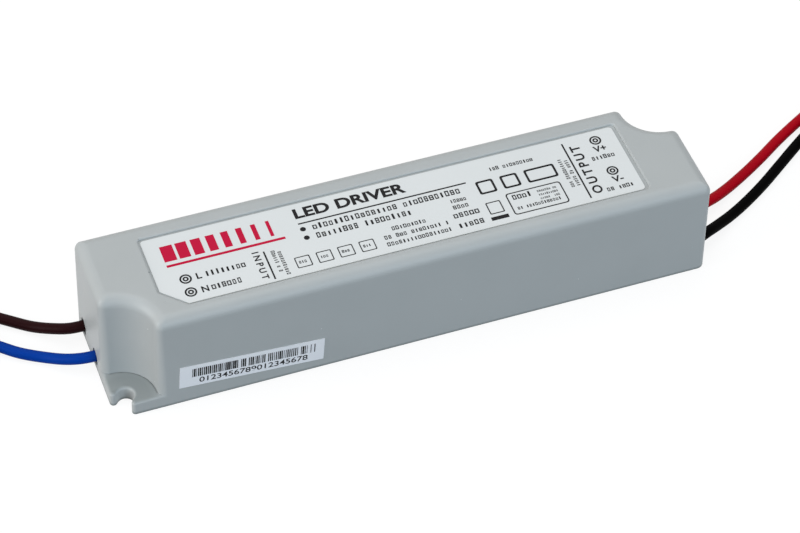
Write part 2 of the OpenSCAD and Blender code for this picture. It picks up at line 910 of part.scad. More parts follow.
module input_tie() {
    color("#e8e8e4")
        tie(input_coil, input_tie_at);
}
module output_tie() {
    color("#e8e8e4")
        tie(output_coil, output_tie_at);
}

case();
base_plate();
potting();
rating_label();
serial_label();
circuit_board();
solder_joints();
fuse();
varistor();
thermistor();
filter_capacitor();
choke_core();
choke_windings();
bridge_rectifier();
bulk_capacitor();
primary_heat_sink();
switch_transistor();
controller_chip();
transformer_core();
transformer_bobbin();
transformer_winding();
optocoupler();
safety_capacitor();
output_heat_sink();
output_rectifier();
output_capacitors();
output_choke();
resistors();
brown_lead();
blue_lead();
red_lead();
black_lead();
brown_coil();
blue_coil();
red_coil();
black_coil();
brown_core();
blue_core();
red_core();
black_core();
input_tie();
output_tie();
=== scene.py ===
# %% [markdown]
# # A potted LED driver
# The object is a small sealed power supply: a grey moulded tub with two screw ears, a printed
# film label let into its roof, a paper serial sticker on its front, and two pairs of loose leads.
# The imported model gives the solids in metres. This script keeps the parts that are sealed inside,
# and remakes what the eye meets first: the moulded case, the print, the leads and their ties.

# %% Frame
import math

import bmesh
import bpy
from mathutils import Matrix, Vector


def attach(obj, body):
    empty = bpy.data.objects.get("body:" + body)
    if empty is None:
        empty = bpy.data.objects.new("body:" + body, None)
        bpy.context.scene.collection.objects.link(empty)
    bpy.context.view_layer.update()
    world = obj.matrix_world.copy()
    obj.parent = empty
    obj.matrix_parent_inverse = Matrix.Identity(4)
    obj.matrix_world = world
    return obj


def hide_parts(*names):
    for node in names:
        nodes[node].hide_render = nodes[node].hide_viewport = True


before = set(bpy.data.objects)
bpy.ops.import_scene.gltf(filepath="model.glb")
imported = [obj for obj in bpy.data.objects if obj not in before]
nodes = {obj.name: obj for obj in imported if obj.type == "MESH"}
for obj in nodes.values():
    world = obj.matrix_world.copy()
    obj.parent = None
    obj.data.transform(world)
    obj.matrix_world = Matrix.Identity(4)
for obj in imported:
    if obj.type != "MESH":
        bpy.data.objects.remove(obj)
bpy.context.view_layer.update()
scene = bpy.context.scene
scene.view_settings.view_transform = "Standard"
MM = 0.001

# %% [markdown]
# ## Camera
# The picture was taken with a long lens from the front left, looking down at about 47 degrees.
# A camera is a place, a turn and a focal length. The edges of the case, which are straight and
# square to each other, were used to work out all three.

# %% Camera
PICTURE_W = 800
FOCAL_PIXELS = 2887.4
SENSOR_MM = 36
camera = bpy.data.objects.new("camera", bpy.data.cameras.new("camera"))
camera.data.sensor_width = SENSOR_MM
camera.data.lens = FOCAL_PIXELS / PICTURE_W * SENSOR_MM
camera.data.clip_start = 0.01
camera.location = Vector((-148.573, -393.409, 465.064)) * MM
camera.rotation_euler = [math.radians(a) for a in (42.6249, -0.9918, -19.7559)]
scene.collection.objects.link(camera)
scene.camera = camera
print("lens:", round(camera.data.lens, 1), "mm")

# %% [markdown]
# ## Two helpers for materials
# Colours are written as the hex values that a screen shows, and shaders want linear light, so one
# function turns them. The other adds a node, sets its values and makes its links in one line.

# %% Colour and nodes
def linear(hex_colour):
    parts = [int(hex_colour[i:i + 2], 16) / 255 for i in (1, 3, 5)]
    return [c / 12.92 if c <= 0.04045 else ((c + 0.055) / 1.055) ** 2.4 for c in parts] + [1.0]


def add_node(tree, kind, settings=None, inputs=None):
    node = tree.nodes.new(kind)
    for name, value in (settings or {}).items():
        setattr(node, name, value)
    for name, value in (inputs or {}).items():
        if isinstance(value, bpy.types.NodeSocket):
            tree.links.new(value, node.inputs[name])
        else:
            node.inputs[name].default_value = value
    return node


print("middle grey on a screen is", round(linear("#808080")[0], 3), "in linear light")

# %% [markdown]
# ## A general finish
# Most plastics, resins and metals here differ in colour, gloss and grain, and not in kind. One
# function makes such a finish: the colour drifts between two close shades over a few millimetres,
# the gloss drifts with it, and a fine grain of a stated size tilts the surface. Sizes are in
# millimetres, and everything is placed by Object coordinates, so a pattern stays on its piece.

# %% Mottled finish
GLOSS_DRIFT = 0.06
GRAIN_RISE = 0.3


def start_material(name, metallic=0.0, shine=0.5):
    material = bpy.data.materials.new(name)
    material.use_nodes = True
    tree = material.node_tree
    shader = tree.nodes["Principled BSDF"]
    shader.inputs["Metallic"].default_value = metallic
    shader.inputs["Specular IOR Level"].default_value = shine
    place = add_node(tree, "ShaderNodeTexCoord").outputs["Object"]
    return material, tree, shader, place


def dress(tree, shader, place, drift, colour, roughness, grain_mm, rise_mm, depth):
    gloss = add_node(tree, "ShaderNodeMapRange", {}, {
        "Value": drift.outputs["Fac"],
        "To Min": roughness - GLOSS_DRIFT, "To Max": roughness + GLOSS_DRIFT})
    grain = add_node(tree, "ShaderNodeTexNoise", {}, {
        "Vector": place, "Scale": 1 / (grain_mm * MM), "Detail": 2.0})
    bump = add_node(tree, "ShaderNodeBump", {}, {
        "Height": grain.outputs["Fac"], "Strength": depth, "Distance": rise_mm * MM})
    tree.links.new(colour.outputs[2], shader.inputs["Base Color"])
    tree.links.new(gloss.outputs["Result"], shader.inputs["Roughness"])
    tree.links.new(bump.outputs["Normal"], shader.inputs["Normal"])


def mottled(name, shade, tint, roughness, grain_mm, drift_mm, depth, metallic=0.0, shine=0.5):
    material, tree, shader, place = start_material(name, metallic, shine)
    drift = add_node(tree, "ShaderNodeTexNoise", {}, {
        "Vector": place, "Scale": 1 / (drift_mm * MM), "Detail": 3.0})
    colour = add_node(tree, "ShaderNodeMix", {"data_type": "RGBA"}, {
        "Factor": drift.outputs["Fac"], 6: linear(shade), 7: linear(tint)})
    dress(tree, shader, place, drift, colour, roughness, grain_mm, GRAIN_RISE * grain_mm, depth)
    return material


# %% [markdown]
# ## Leads
# Each lead is a copper core in PVC insulation, 2.45 mm across. It leaves the end wall level, sinks
# to the table and runs away to a small coil that holds the length outside the picture. The steps
# below are places along it, counted from the hole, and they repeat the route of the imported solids.
# The two leads of a pair share a coil: one winds outside the other, and both climb to a second
# layer after most of a turn.

# %% Routes, in millimetres
LEAD_R = 1.225
LEAD_L = 180.0
LEAD_IN = 5.5
LEAD_Z = 3.4
LOW_Z, LAYER = 1.675, 2.55
HIGH_Z = LOW_Z + LAYER
INPUT_COIL = (-108.0, 12.0)
OUTPUT_COIL = (126.0, 10.5)
LEADS = {
    "brown": {
        "exit": (-67, 9.5), "coil": INPUT_COIL, "radius": 15.75,
        "entry": 80, "way": 1, "low": 270,
        "steps": [(-3, 0.3, 3.3), (-6, 2, 2.5), (-10, 5, 1.4), (-14.5, 8.5, 1.3),
                  (-19.5, 12.4, 1.3), (-25, 15.7, 1.4), (-31, 17.6, 1.5)]},
    "blue": {
        "exit": (-67, 0.5), "coil": INPUT_COIL, "radius": 13.2,
        "entry": 60, "way": 1, "low": 290,
        "steps": [(-3, 0.4, 3.25), (-6, 2, 2.4), (-10, 4.9, 1.4), (-14.5, 7.8, 1.3),
                  (-18.5, 11.3, 1.3), (-24, 15.8, 1.4), (-29.5, 19.7, 1.5)]},
    "red": {
        "exit": (67, -0.5), "coil": OUTPUT_COIL, "radius": 15.75,
        "entry": 104, "way": -1, "low": 270,
        "steps": [(4.5, 0.3, 3.2), (9, 2.1, 2.3), (13.5, 4.6, 1.4), (19, 7.6, 1.3), (25, 11.2, 1.3),
                  (31, 15.1, 1.3), (37.5, 18.9, 1.3), (44, 22.3, 1.4), (50, 24.9, 1.5)]},
    "black": {
        "exit": (67, -9.5), "coil": OUTPUT_COIL, "radius": 13.2,
        "entry": 115, "way": -1, "low": 290,
        "steps": [(3.5, 1.3, 3.4), (6.5, 3, 2.6), (11, 5.6, 1.6), (15.5, 8.2, 1.3),
                  (21.7, 12.1, 1.3), (28, 16.6, 1.3), (34.5, 21.3, 1.3), (40.5, 25.3, 1.4),
                  (47, 29.1, 1.5)]},
}
print("leads:", ", ".join(LEADS))

# %% [markdown]
# The coil's angle follows from the length: what the free run leaves over goes into turns. Between
# the layers the lead climbs on a smooth step.

# %% Free run and coil
CLIMB_START, CLIMB_TURN = 10, 35


def inward(lead):
    return 1 if lead["exit"][0] < 0 else -1


def on_coil(lead, turned, z):
    a = math.radians(lead["entry"] + lead["way"] * turned)
    x, y = lead["coil"]
    return Vector((x + lead["radius"] * math.cos(a), y + lead["radius"] * math.sin(a), z))


def coil_height(lead, turned):
    t = min(max((turned - lead["low"] + CLIMB_START) / CLIMB_TURN, 0), 1)
    return LOW_Z + (HIGH_Z - LOW_Z) * t * t * (3 - 2 * t)


def free_points(lead):
    x, y = lead["exit"]
    return ([Vector((x, y, LEAD_Z))] + [Vector((x + a, y + b, z)) for a, b, z in lead["steps"]]
            + [on_coil(lead, 0, LOW_Z)])


def whole_turn(lead):
    free = free_points(lead)
    run = sum((b - a).length for a, b in zip(free, free[1:]))
    return math.degrees((LEAD_L - run) / lead["radius"])


print("coiled:", {name: round(whole_turn(lead)) for name, lead in LEADS.items()}, "degrees")

# %% [markdown]
# A spline through all the points takes out the corners. A curve with handles would need two at
# each point. This spline takes its slope at a point from the neighbours, so it needs none, and
# weighing them by the root of their distance keeps it from overshooting.

# %% Smooth line
COIL_STEP = 6
LINE_STEP = 0.9


def smooth_line(points, step):
    dense = []
    last = len(points) - 1
    for i in range(last):
        p0, p1, p2, p3 = [points[min(max(i + k, 0), last)] for k in (-1, 0, 1, 2)]
        before, here, after = [max((b - a).length, 1e-6) ** 0.5
                               for a, b in ((p0, p1), (p1, p2), (p2, p3))]
        chord = (p2 - p1) / here
        leave = chord if i == 0 else (p1 - p0) / before - (p2 - p0) / (before + here) + chord
        meet = chord if i == last - 1 else chord - (p3 - p1) / (here + after) + (p3 - p2) / after
        count = max(int((p2 - p1).length / step), 1)
        for k in range(count):
            u = k / count
            dense.append(p1 * (2 * u**3 - 3 * u**2 + 1) + leave * (here * (u**3 - 2 * u**2 + u))
                         + p2 * (3 * u**2 - 2 * u**3) + meet * (here * (u**3 - u**2)))
    return dense + [points[-1]]


def lead_line(lead):
    x, y = lead["exit"]
    inside = Vector((x + inward(lead) * LEAD_IN, y, LEAD_Z))
    turn = whole_turn(lead)
    count = int(turn / COIL_STEP)
    coil = [on_coil(lead, turn * k / count, coil_height(lead, turn * k / count))
            for k in range(1, count + 1)]
    return smooth_line([inside] + free_points(lead) + coil, LINE_STEP)


# %% [markdown]
# A lead is a round tube along a line. A bevelled curve could make it, and so can Geometry Nodes:
# Mesh to Curve, then Curve to Mesh with a circle. The tree has named inputs for the radius, the
# number of sides and the finish, so the same tree also makes the thin copper strands.

# %% Tube along a line, with Geometry Nodes
def start_tree(name, inputs, result):
    tree = bpy.data.node_groups.new(name, "GeometryNodeTree")
    for label, kind in inputs.items():
        tree.interface.new_socket(label, in_out="INPUT", socket_type="NodeSocket" + kind)
    tree.interface.new_socket(result, in_out="OUTPUT", socket_type="NodeSocketGeometry")
    return tree, add_node(tree, "NodeGroupInput").outputs


def tube_tree():
    tree, given = start_tree("tube along a line", {
        "Line": "Geometry", "Radius": "Float", "Sides": "Int", "Finish": "Material"}, "Tube")
    line = add_node(tree, "GeometryNodeMeshToCurve", {}, {"Mesh": given["Line"]})
    ring = add_node(tree, "GeometryNodeCurvePrimitiveCircle", {}, {
        "Resolution": given["Sides"], "Radius": given["Radius"]})
    tube = add_node(tree, "GeometryNodeCurveToMesh", {}, {
        "Curve": line.outputs["Curve"], "Profile Curve": ring.outputs["Curve"],
        "Fill Caps": True})
    real = add_node(tree, "GeometryNodeRealizeInstances", {}, {"Geometry": tube.outputs["Mesh"]})
    done = add_node(tree, "GeometryNodeSetMaterial", {}, {
        "Geometry": real.outputs["Geometry"], "Material": given["Finish"]})
    add_node(tree, "NodeGroupOutput", {}, {"Tube": done.outputs["Geometry"]})
    return tree


TUBE = tube_tree()
print("tube tree:", len(TUBE.nodes), "nodes")

# %% [markdown]
# A tree is run by a modifier on a start mesh, whose inputs are set by the sockets' identifiers.
# The evaluated result is kept as a plain mesh, and the modifier goes. Smooth shading with sharp
# edges past an angle then suits round and cornered pieces alike.

# %% Growing a piece from a tree
def line_mesh(lines):
    mesh = bpy.data.meshes.new("line")
    points, edges = [], []
    for line in lines:
        edges += [(len(points) + i, len(points) + i + 1) for i in range(len(line) - 1)]
        points += [p * MM for p in line]
    mesh.from_pydata(points, edges, [])
    return mesh


def made_mesh(piece):
    seen = piece.evaluated_get(bpy.context.evaluated_depsgraph_get())
    return bpy.data.meshes.new_from_object(seen)


def grow(name, mesh, tree, sizes):
    piece = bpy.data.objects.new(name, mesh)
    scene.collection.objects.link(piece)
    modifier = piece.modifiers.new("grow", "NODES")
    modifier.node_group = tree
    keys = {s.name: s.identifier for s in tree.interface.items_tree
            if s.item_type == "SOCKET" and s.in_out == "INPUT"}
    for key, value in sizes.items():
        modifier[keys[key]] = value
    grown = made_mesh(piece)
    piece.modifiers.remove(modifier)
    piece.data = grown
    return piece


def shade(piece, angle=35):
    for polygon in piece.data.polygons:
        polygon.use_smooth = True
    piece.data.set_sharp_from_angle(angle=math.radians(angle))
    return piece


# %% [markdown]
# ## PVC insulation and tinned copper
# Lead insulation is extruded soft PVC. Its softener leaves it smooth but dull, with deep, even
# colour, a weak wide highlight and a slight waviness. The far end of each lead is stripped, and
# its seven tinned strands lie in a loose twist. A plain rod could stand for them, but the grooves
# between strands catch the light, so each strand is a tube of its own.

# %% Lead insulation and cores
# soft PVC: nearly matt, so the dark leads stay dark and the bright ones stay pure in colour
PVC = {
    "brown": mottled("soft PVC, brown", "#1f0608", "#28090c", 0.45, 0.5, 9.0, 0.06, shine=0.06),
    "blue": mottled("soft PVC, blue", "#003592", "#003d9e", 0.45, 0.5, 9.0, 0.06, shine=0.06),
    "red": mottled("soft PVC, red", "#a80014", "#b20018", 0.45, 0.5, 9.0, 0.06, shine=0.07),
    "black": mottled("soft PVC, black", "#010101", "#030303", 0.5, 0.5, 9.0, 0.06, shine=0.02),
}
# tin over copper: a soft silvery gloss, patchy where the dip ran thin
TINNED = mottled("tinned copper strands", "#b9babb", "#d3d3d0", 0.3, 0.15, 1.5, 0.1, metallic=1.0)
STRIP_L, STRIP_SUNK, STRIP_STEPS = 7.0, 0.6, 40
STRAND_R, STRAND_LAY = 0.183, 9
STUB_R, STUB_L = 0.55, 4


def tip_line(lead, offset, phase):
    turn = whole_turn(lead)
    line = []
    for k in range(STRIP_STEPS + 1):
        along = STRIP_L * k / STRIP_STEPS
        middle = on_coil(lead, turn + math.degrees((along - STRIP_SUNK) / lead["radius"]), HIGH_Z)
        out = Vector((middle.x - lead["coil"][0], middle.y - lead["coil"][1], 0)).normalized()
        a = phase + 2 * math.pi * along / STRAND_LAY
        line.append(middle + out * (offset * math.cos(a)) + Vector((0, 0, offset * math.sin(a))))
    return line


def stub_line(lead):
    x, y = lead["exit"]
    return [Vector((x + inward(lead) * (LEAD_IN + d), y, LEAD_Z)) for d in range(STUB_L + 1)]


for name, lead in LEADS.items():
    line = lead_line(lead)
    sleeve = grow(name + "_insulation", line_mesh([line]), TUBE,
                  {"Radius": LEAD_R * MM, "Sides": 24, "Finish": PVC[name]})
    strands = [tip_line(lead, 0, 0)]
    strands += [tip_line(lead, 2 * STRAND_R, k * math.pi / 3) for k in range(6)]
    tip = grow(name + "_stripped_end", line_mesh(strands), TUBE,
               {"Radius": STRAND_R * MM, "Sides": 10, "Finish": TINNED})
    inner = grow(name + "_soldered_end", line_mesh([stub_line(lead)]), TUBE,
                 {"Radius": STUB_R * MM, "Sides": 16, "Finish": TINNED})
    for piece in (tip, inner):
        shade(piece)
        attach(piece, "root")
        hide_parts(name + "_core")
    shade(sleeve)
    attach(sleeve, "root")
    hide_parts(name + "_lead", name + "_coil")
    length = sum((b - a).length for a, b in zip(line, line[1:]))
    print(name, "lead:", len(line), "points,", round(length, 1), "mm")

# %% [markdown]
# ## Ties
# Each coil is held by a plastic-covered wire tie. Its strip is thin at the edges and thick in the
# middle, where the wire runs. It goes once round the four turns and its ends are twisted together.
# Both shapes are sections carried along a path, so rings of points joined by faces make them.

# %% Rings to a mesh
def skin(bm, rings, closed=False, capped=True):
    made = [[bm.verts.new(p) for p in ring] for ring in rings]
    count = len(made[0])
    pairs = list(zip(made, made[1:] + made[:1])) if closed else list(zip(made, made[1:]))
    for a, b in pairs:
        for i in range(count):
            j = (i + 1) % count
            bm.faces.new((a[i], a[j], b[j], b[i]))
    if capped and not closed:
        bm.faces.new(made[0][::-1])
        bm.faces.new(made[-1])
    return made


def mesh_object(name, bm, material=None):
    bmesh.ops.recalc_face_normals(bm, faces=bm.faces)
    mesh = bpy.data.meshes.new(name)
    bm.to_mesh(mesh)
    bm.free()
    if material:
        mesh.materials.append(material)
    piece = bpy.data.objects.new(name, mesh)
    scene.collection.objects.link(piece)
    return piece


# %% [markdown]
# The strip's loop is a rounded box just outside the bundle, and its tails are two flat bands that
# wind about each other. Each tie is drawn at the coil's middle and then turned to its place.

# %% Strip and tails
# polythene: milky white and waxy, with a broad soft sheen
TIE_PLASTIC = mottled("polythene tie", "#dedcd4", "#ecebe6", 0.45, 0.4, 4.0, 0.1)
TIE_HALF, TIE_EDGE, TIE_WIRE = 1.8, 0.11, 0.24
TIE_NEAR, TIE_FAR, TIE_FOOT, TIE_TOP, TIE_BEND = 11.785, 17.165, 0.26, 5.64, 1.25
TAIL_L, TAIL_TURN, TAIL_STEPS, TAIL_SIDES = 10.6, 3 * math.pi, 60, 12
TAIL_SPREAD, TAIL_WIDE, TAIL_THIN = 0.42, 0.62, 0.26
TAIL_START, TAIL_LIFT, TAIL_RISE = 0.2, 0.25, 0.86


def strip_section():
    upper = [(-TIE_HALF, 0.0), (-1.5, TIE_EDGE), (-0.6, TIE_EDGE), (-0.3, TIE_WIRE),
             (0.3, TIE_WIRE), (0.6, TIE_EDGE), (1.5, TIE_EDGE), (TIE_HALF, 0.0)]
    return upper + [(u, -TIE_EDGE) for u, _ in upper[::-1][1:-1]]


def strip_loop():
    near, far, foot, top = (TIE_NEAR + TIE_BEND, TIE_FAR - TIE_BEND,
                            TIE_FOOT + TIE_BEND, TIE_TOP - TIE_BEND)
    for x, z, start in ((far, top, 0), (near, top, 90), (near, foot, 180), (far, foot, 270)):
        for k in range(9):
            a = math.radians(start + 90 * k / 8)
            yield x + TIE_BEND * math.cos(a), z + TIE_BEND * math.sin(a), math.cos(a), math.sin(a)


def tail_ring(t, phase):
    # t goes from 0 to 1 along a tail, which leaves the strip low and close, then rises and parts
    a = phase + TAIL_TURN * t
    wide, thin = Vector((-math.sin(a), 0, math.cos(a))), Vector((math.cos(a), 0, math.sin(a)))
    axis = Vector(((TIE_NEAR + TIE_FAR) / 2, TAIL_START + TAIL_L * t,
                   TIE_TOP + TAIL_LIFT + TAIL_RISE * min(1, t * 4)))
    middle = axis + thin * (TAIL_SPREAD * min(1, t * 6 + 0.35))
    return [middle + wide * (TAIL_WIDE * math.cos(b)) + thin * (TAIL_THIN * math.sin(b))
            for b in [2 * math.pi * i / TAIL_SIDES for i in range(TAIL_SIDES)]]


# %% Ties
def tie(name, coil, turned):
    bm = bmesh.new()
    turn = Matrix.Translation((*coil, 0)) @ Matrix.Rotation(math.radians(turned), 4, "Z")
    skin(bm, [[turn @ Vector((x + nx * h, u, z + nz * h)) * MM for u, h in strip_section()]
              for x, z, nx, nz in strip_loop()], closed=True)
    for phase in (0, math.pi):
        skin(bm, [[turn @ p * MM for p in tail_ring(k / TAIL_STEPS, phase)]
                  for k in range(TAIL_STEPS + 1)])
    piece = shade(mesh_object(name + "_strip", bm, TIE_PLASTIC), 40)
    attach(piece, "root")
    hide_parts(name)
    print(piece.name, len(piece.data.polygons), "faces")
    return piece


input_strip = tie("input_tie", INPUT_COIL, 150)
output_strip = tie("output_tie", OUTPUT_COIL, 70)

# %% [markdown]
# A lead is free to move on the real object. Here each is a fixed mesh where it lies.

# %% [markdown]
# ## Moulded case
# The tub was moulded with leaning walls, so that it slides off its core, and with generous rounds
# along the roof. A round hollow at two corners leaves a low ear for a screw. The plan of the case
# is one outline of arcs and straight runs. Moved inwards by the lean and by the round of the roof
# edge, it gives every ring of the outer skin, and moved further it gives the inside.

# %% Outline of the case, in millimetres
CASE_L, CASE_W, CASE_H = 134.0, 30.0, 25.4
LEAN_DEG = 1.25
WALL, ROOF, LEAN = 2.0, 2.4, math.tan(math.radians(LEAN_DEG))
CORNER_R, TOP_R, FOOT_R = 1.8, 2.6, 0.25
HOLLOW_R, HOLLOW_IN = 7.6, 1.9
LIP_R, SKIN_LIP_R, TOP_LIP_R = 1.6, 2.2, 1.1
LEAST_R = 0.3
BASE_T, BASE_RIM = 1.2, 1.0
END_X, SIDE_Y = CASE_L / 2, CASE_W / 2


def arc(cx, cy, r, a0, a1, n, ends=True):
    steps = range(0, n + 1) if ends else range(1, n)
    return [(cx + r * math.cos(math.radians(a0 + (a1 - a0) * i / n)),
             cy + r * math.sin(math.radians(a0 + (a1 - a0) * i / n))) for i in steps]


def outline(d, lip_r=LIP_R, least=LEAST_R):
    lip = max(lip_r - d, least)
    reach = math.sqrt((HOLLOW_R + d + lip) ** 2 - (lip + d - HOLLOW_IN) ** 2)
    w = math.degrees(math.atan2(lip + d - HOLLOW_IN, reach))
    corner = max(CORNER_R - d, LEAST_R)
    sx, sy = HOLLOW_IN - END_X, HOLLOW_IN - SIDE_Y
    half = (arc(d + lip - END_X, sy + reach, lip, 180, 270 - w, 12)
            + arc(sx, sy, HOLLOW_R + d, 90 - w, w, 36, ends=False)
            + arc(sx + reach, d + lip - SIDE_Y, lip, 180 + w, 270, 12)
            + arc(END_X - d - corner, d + corner - SIDE_Y, corner, 270, 360, 12))
    return half + [(-x, -y) for x, y in half]


def ring_at(points, z):
    return [Vector((x, y, z)) * MM for x, y in points]


def rounded(h, r, n):
    z = h - r
    return [(z + r * math.sin(a), z * LEAN + r * (1 - math.cos(a)))
            for a in [math.pi / 2 * i / n for i in range(n + 1)]]


print("case outline:", len(outline(0.0)), "points")

# %% [markdown]
# The label lies in a shallow recess with one cut corner. The recess is part of the roof: its edge
# is slightly rounded, its floor is flat, and the roof round it is filled between two loops.

# %% Tub with a label recess
RECESS_D, RECESS_R, RECESS_EDGE = 0.5, 0.8, 0.42
RECESS = (-END_X + 13.1, END_X - 13.5, -SIDE_Y + 4.2, SIDE_Y - 5.25)
RECESS_CUT = 4.9
CUT_SHIFT = 0.586  # how much a cut at 45 degrees shortens when its sides move in by 1


def recess_outline(d):
    x0, x1, y0, y1 = RECESS[0] + d, RECESS[1] - d, RECESS[2] + d, RECESS[3] - d
    r = RECESS_R - d
    cut = RECESS_CUT - d * CUT_SHIFT
    return ([(x0, y0 + cut), (x0 + cut, y0)] + arc(x1 - r, y0 + r, r, 270, 360, 8)
            + arc(x1 - r, y1 - r, r, 0, 90, 8) + arc(x0 + r, y1 - r, r, 90, 180, 8))


def tub():
    bm = bmesh.new()
    top = CASE_H - ROOF
    inside = [(top, WALL + top * LEAN), (BASE_T, WALL + BASE_T * LEAN), (BASE_T, BASE_RIM),
              (0.0, BASE_RIM)]
    outside = [(0.0, FOOT_R), (FOOT_R * 0.3, FOOT_R * 0.3), (FOOT_R, FOOT_R * LEAN)]
    outside += rounded(CASE_H, TOP_R, 14)
    rings = [ring_at(outline(d), z) for z, d in inside]
    rings += [ring_at(outline(d, SKIN_LIP_R, TOP_LIP_R), z) for z, d in outside]
    walls = skin(bm, rings, capped=False)
    bm.faces.new(walls[0])
    edge = [(CASE_H - RECESS_EDGE * (1 - math.cos(a)), -RECESS_EDGE * (1 - math.sin(a)))
            for a in [math.pi / 2 * i / 5 for i in range(6)]]
    edge.append((CASE_H - RECESS_D, 0.0))
    pocket = skin(bm, [ring_at(recess_outline(d), z) for z, d in edge], capped=False)
    bm.faces.new(pocket[-1])
    loops = [bm.edges.get((ring[i - 1], ring[i])) for ring in (walls[-1], pocket[0])
             for i in range(len(ring))]
    bmesh.ops.triangle_fill(bm, use_beauty=True, edges=loops)
    return bm


case = mesh_object("moulded_case", tub())
print("tub:", len(case.data.polygons), "faces")

# %% [markdown]
# The ear has the same leaning sides and a soft round on its top edge, which also runs round the
# open screw slot. It is a closed solid whose root is sunk in the wall behind the hollow, so that a
# Boolean union joins it.

# %% Ears
EAR_H, EAR_R, EAR_TIP_R, EAR_FOOT = 3.5, 0.66, 0.8, 0.12
SLOT_W, SLOT_IN = 3.7, 3.05
EAR_SUNK, EAR_BACK = 0.5, 0.02


def ear_outline(d):
    cx, cy = -END_X, -SIDE_Y
    half, side = SLOT_W / 2, d + EAR_BACK
    tip = EAR_TIP_R + math.sqrt(2) * (half + EAR_TIP_R)
    reach = math.sqrt((HOLLOW_R + SKIN_LIP_R) ** 2 - (SKIN_LIP_R - HOLLOW_IN) ** 2)
    root = HOLLOW_IN + reach + SKIN_LIP_R / 2
    r = max(EAR_TIP_R - side, EAR_BACK)
    return ([(cx + side, cy + root)] + arc(cx + EAR_TIP_R, cy + tip, r, 180, 315, 14)
            + arc(cx + SLOT_IN, cy + SLOT_IN, half + d, 135, -45, 28)
            + arc(cx + tip, cy + EAR_TIP_R, r, 135, 270, 14)
            + [(cx + root, cy + side), (cx + root, cy + EAR_SUNK)]
            + arc(cx + HOLLOW_IN, cy + HOLLOW_IN, HOLLOW_R + EAR_SUNK, 0, 90, 24)
            + [(cx + EAR_SUNK, cy + root)])


def ears():
    bm = bmesh.new()
    rings = [(0.0, EAR_FOOT), (EAR_FOOT, 0.0)] + rounded(EAR_H, EAR_R, 9)
    for sign in (1, -1):
        skin(bm, [ring_at([(sign * x, sign * y) for x, y in ear_outline(d)], z) for z, d in rings])
    return bm


ear_blank = mesh_object("ear_blank", ears())
print("ears:", len(ear_blank.data.polygons), "faces")

# %% [markdown]
# The lead holes are a little taller than wide, with a slightly flared mouth. They could be modelled
# into the wall's rings, but a Boolean cut is simpler and clean. The mould also left a fine witness
# line where each ear meets its hollow, which a thin bent rod cuts in the same way.

# %% Lead holes and mould lines
HOLE_R, HOLE_TOP, HOLE_FOOT = 1.7, 3.55, 2.95
HOLE_STEPS = ((-0.5, 0.16), (0.06, 0.16), (0.12, 0.06), (0.25, 0.0), (3.2, 0.0))
SEAM_R = 0.18


def lead_holes():
    bm = bmesh.new()
    for lead in LEADS.values():
        x, y = lead["exit"]
        sign = inward(lead)
        rings = []
        for depth, flare in HOLE_STEPS:
            r = HOLE_R + flare
            loop = arc(0, HOLE_TOP, r, 0, 180, 14) + arc(0, HOLE_FOOT, r, 180, 360, 14)
            rings.append([Vector((x + sign * depth, y + sign * u, v)) * MM for u, v in loop])
        skin(bm, rings)
    return bm


def seam_rod():
    bm = bmesh.new()
    bend = HOLLOW_R + EAR_H * LEAN
    cx, cy = HOLLOW_IN - END_X, HOLLOW_IN - SIDE_Y
    section = arc(0, 0, SEAM_R, 0, 360, 10)[:-1]
    for sign in (1, -1):
        skin(bm, [[Vector((sign * (cx + x * (bend + u)), sign * (cy + y * (bend + u)),
                           EAR_H + v)) * MM for u, v in section]
                  for x, y in arc(0, 0, 1, -4, 94, 60)])
    return bm


hole_cutter = mesh_object("hole_cutter", lead_holes())
seam_cutter = mesh_object("seam_cutter", seam_rod())
print("cutters:", len(hole_cutter.data.polygons), "and", len(seam_cutter.data.polygons), "faces")

# %% [markdown]
# ## Moulded grey plastic
# The case is grey ABS with the satin skin of a finely etched mould. In the picture it is even, with
# a few bright specks of dust and rarer dark flecks. The tops of the ears round the slots and the
# foot where it stands are darkened with painted shade. The grain of the mould is about a tenth
# of a millimetre, drawn here at 0.35 mm so that it still shows. Specks come from the cells of a
# Voronoi pattern: a cell's colour is random, so it picks which cells carry one.

# %% Patterns on the case
CASE_DRIFT, SPECK_SPACING = 14.0, 4.5
# painted shade on the tops of the ears round the slots and along the foot of the case
SLOT_SHADE = (5.0, 9.0)        # mm from the middle of a slot, from all to none
EAR_SHADE = (3.4, 5.5, 0.5)    # mm above the table, from all to none, and how dense
FOOT_SHADE = (0.3, 0.9, 0.8)
LOOKS_UP = (0.5, 0.95)        # upward part of the normal, from none to all


def specks(tree, cells, channel, share, size):
    picked = add_node(tree, "ShaderNodeSeparateColor", {}, {"Color": cells.outputs["Color"]})
    near = add_node(tree, "ShaderNodeMath", {"operation": "LESS_THAN"}, {
        0: cells.outputs["Distance"], 1: size})
    few = add_node(tree, "ShaderNodeMath", {"operation": "LESS_THAN"}, {
        0: picked.outputs[channel], 1: share})
    both = add_node(tree, "ShaderNodeMath", {"operation": "MULTIPLY"}, {
        0: near.outputs[0], 1: few.outputs[0]})
    return both.outputs[0]
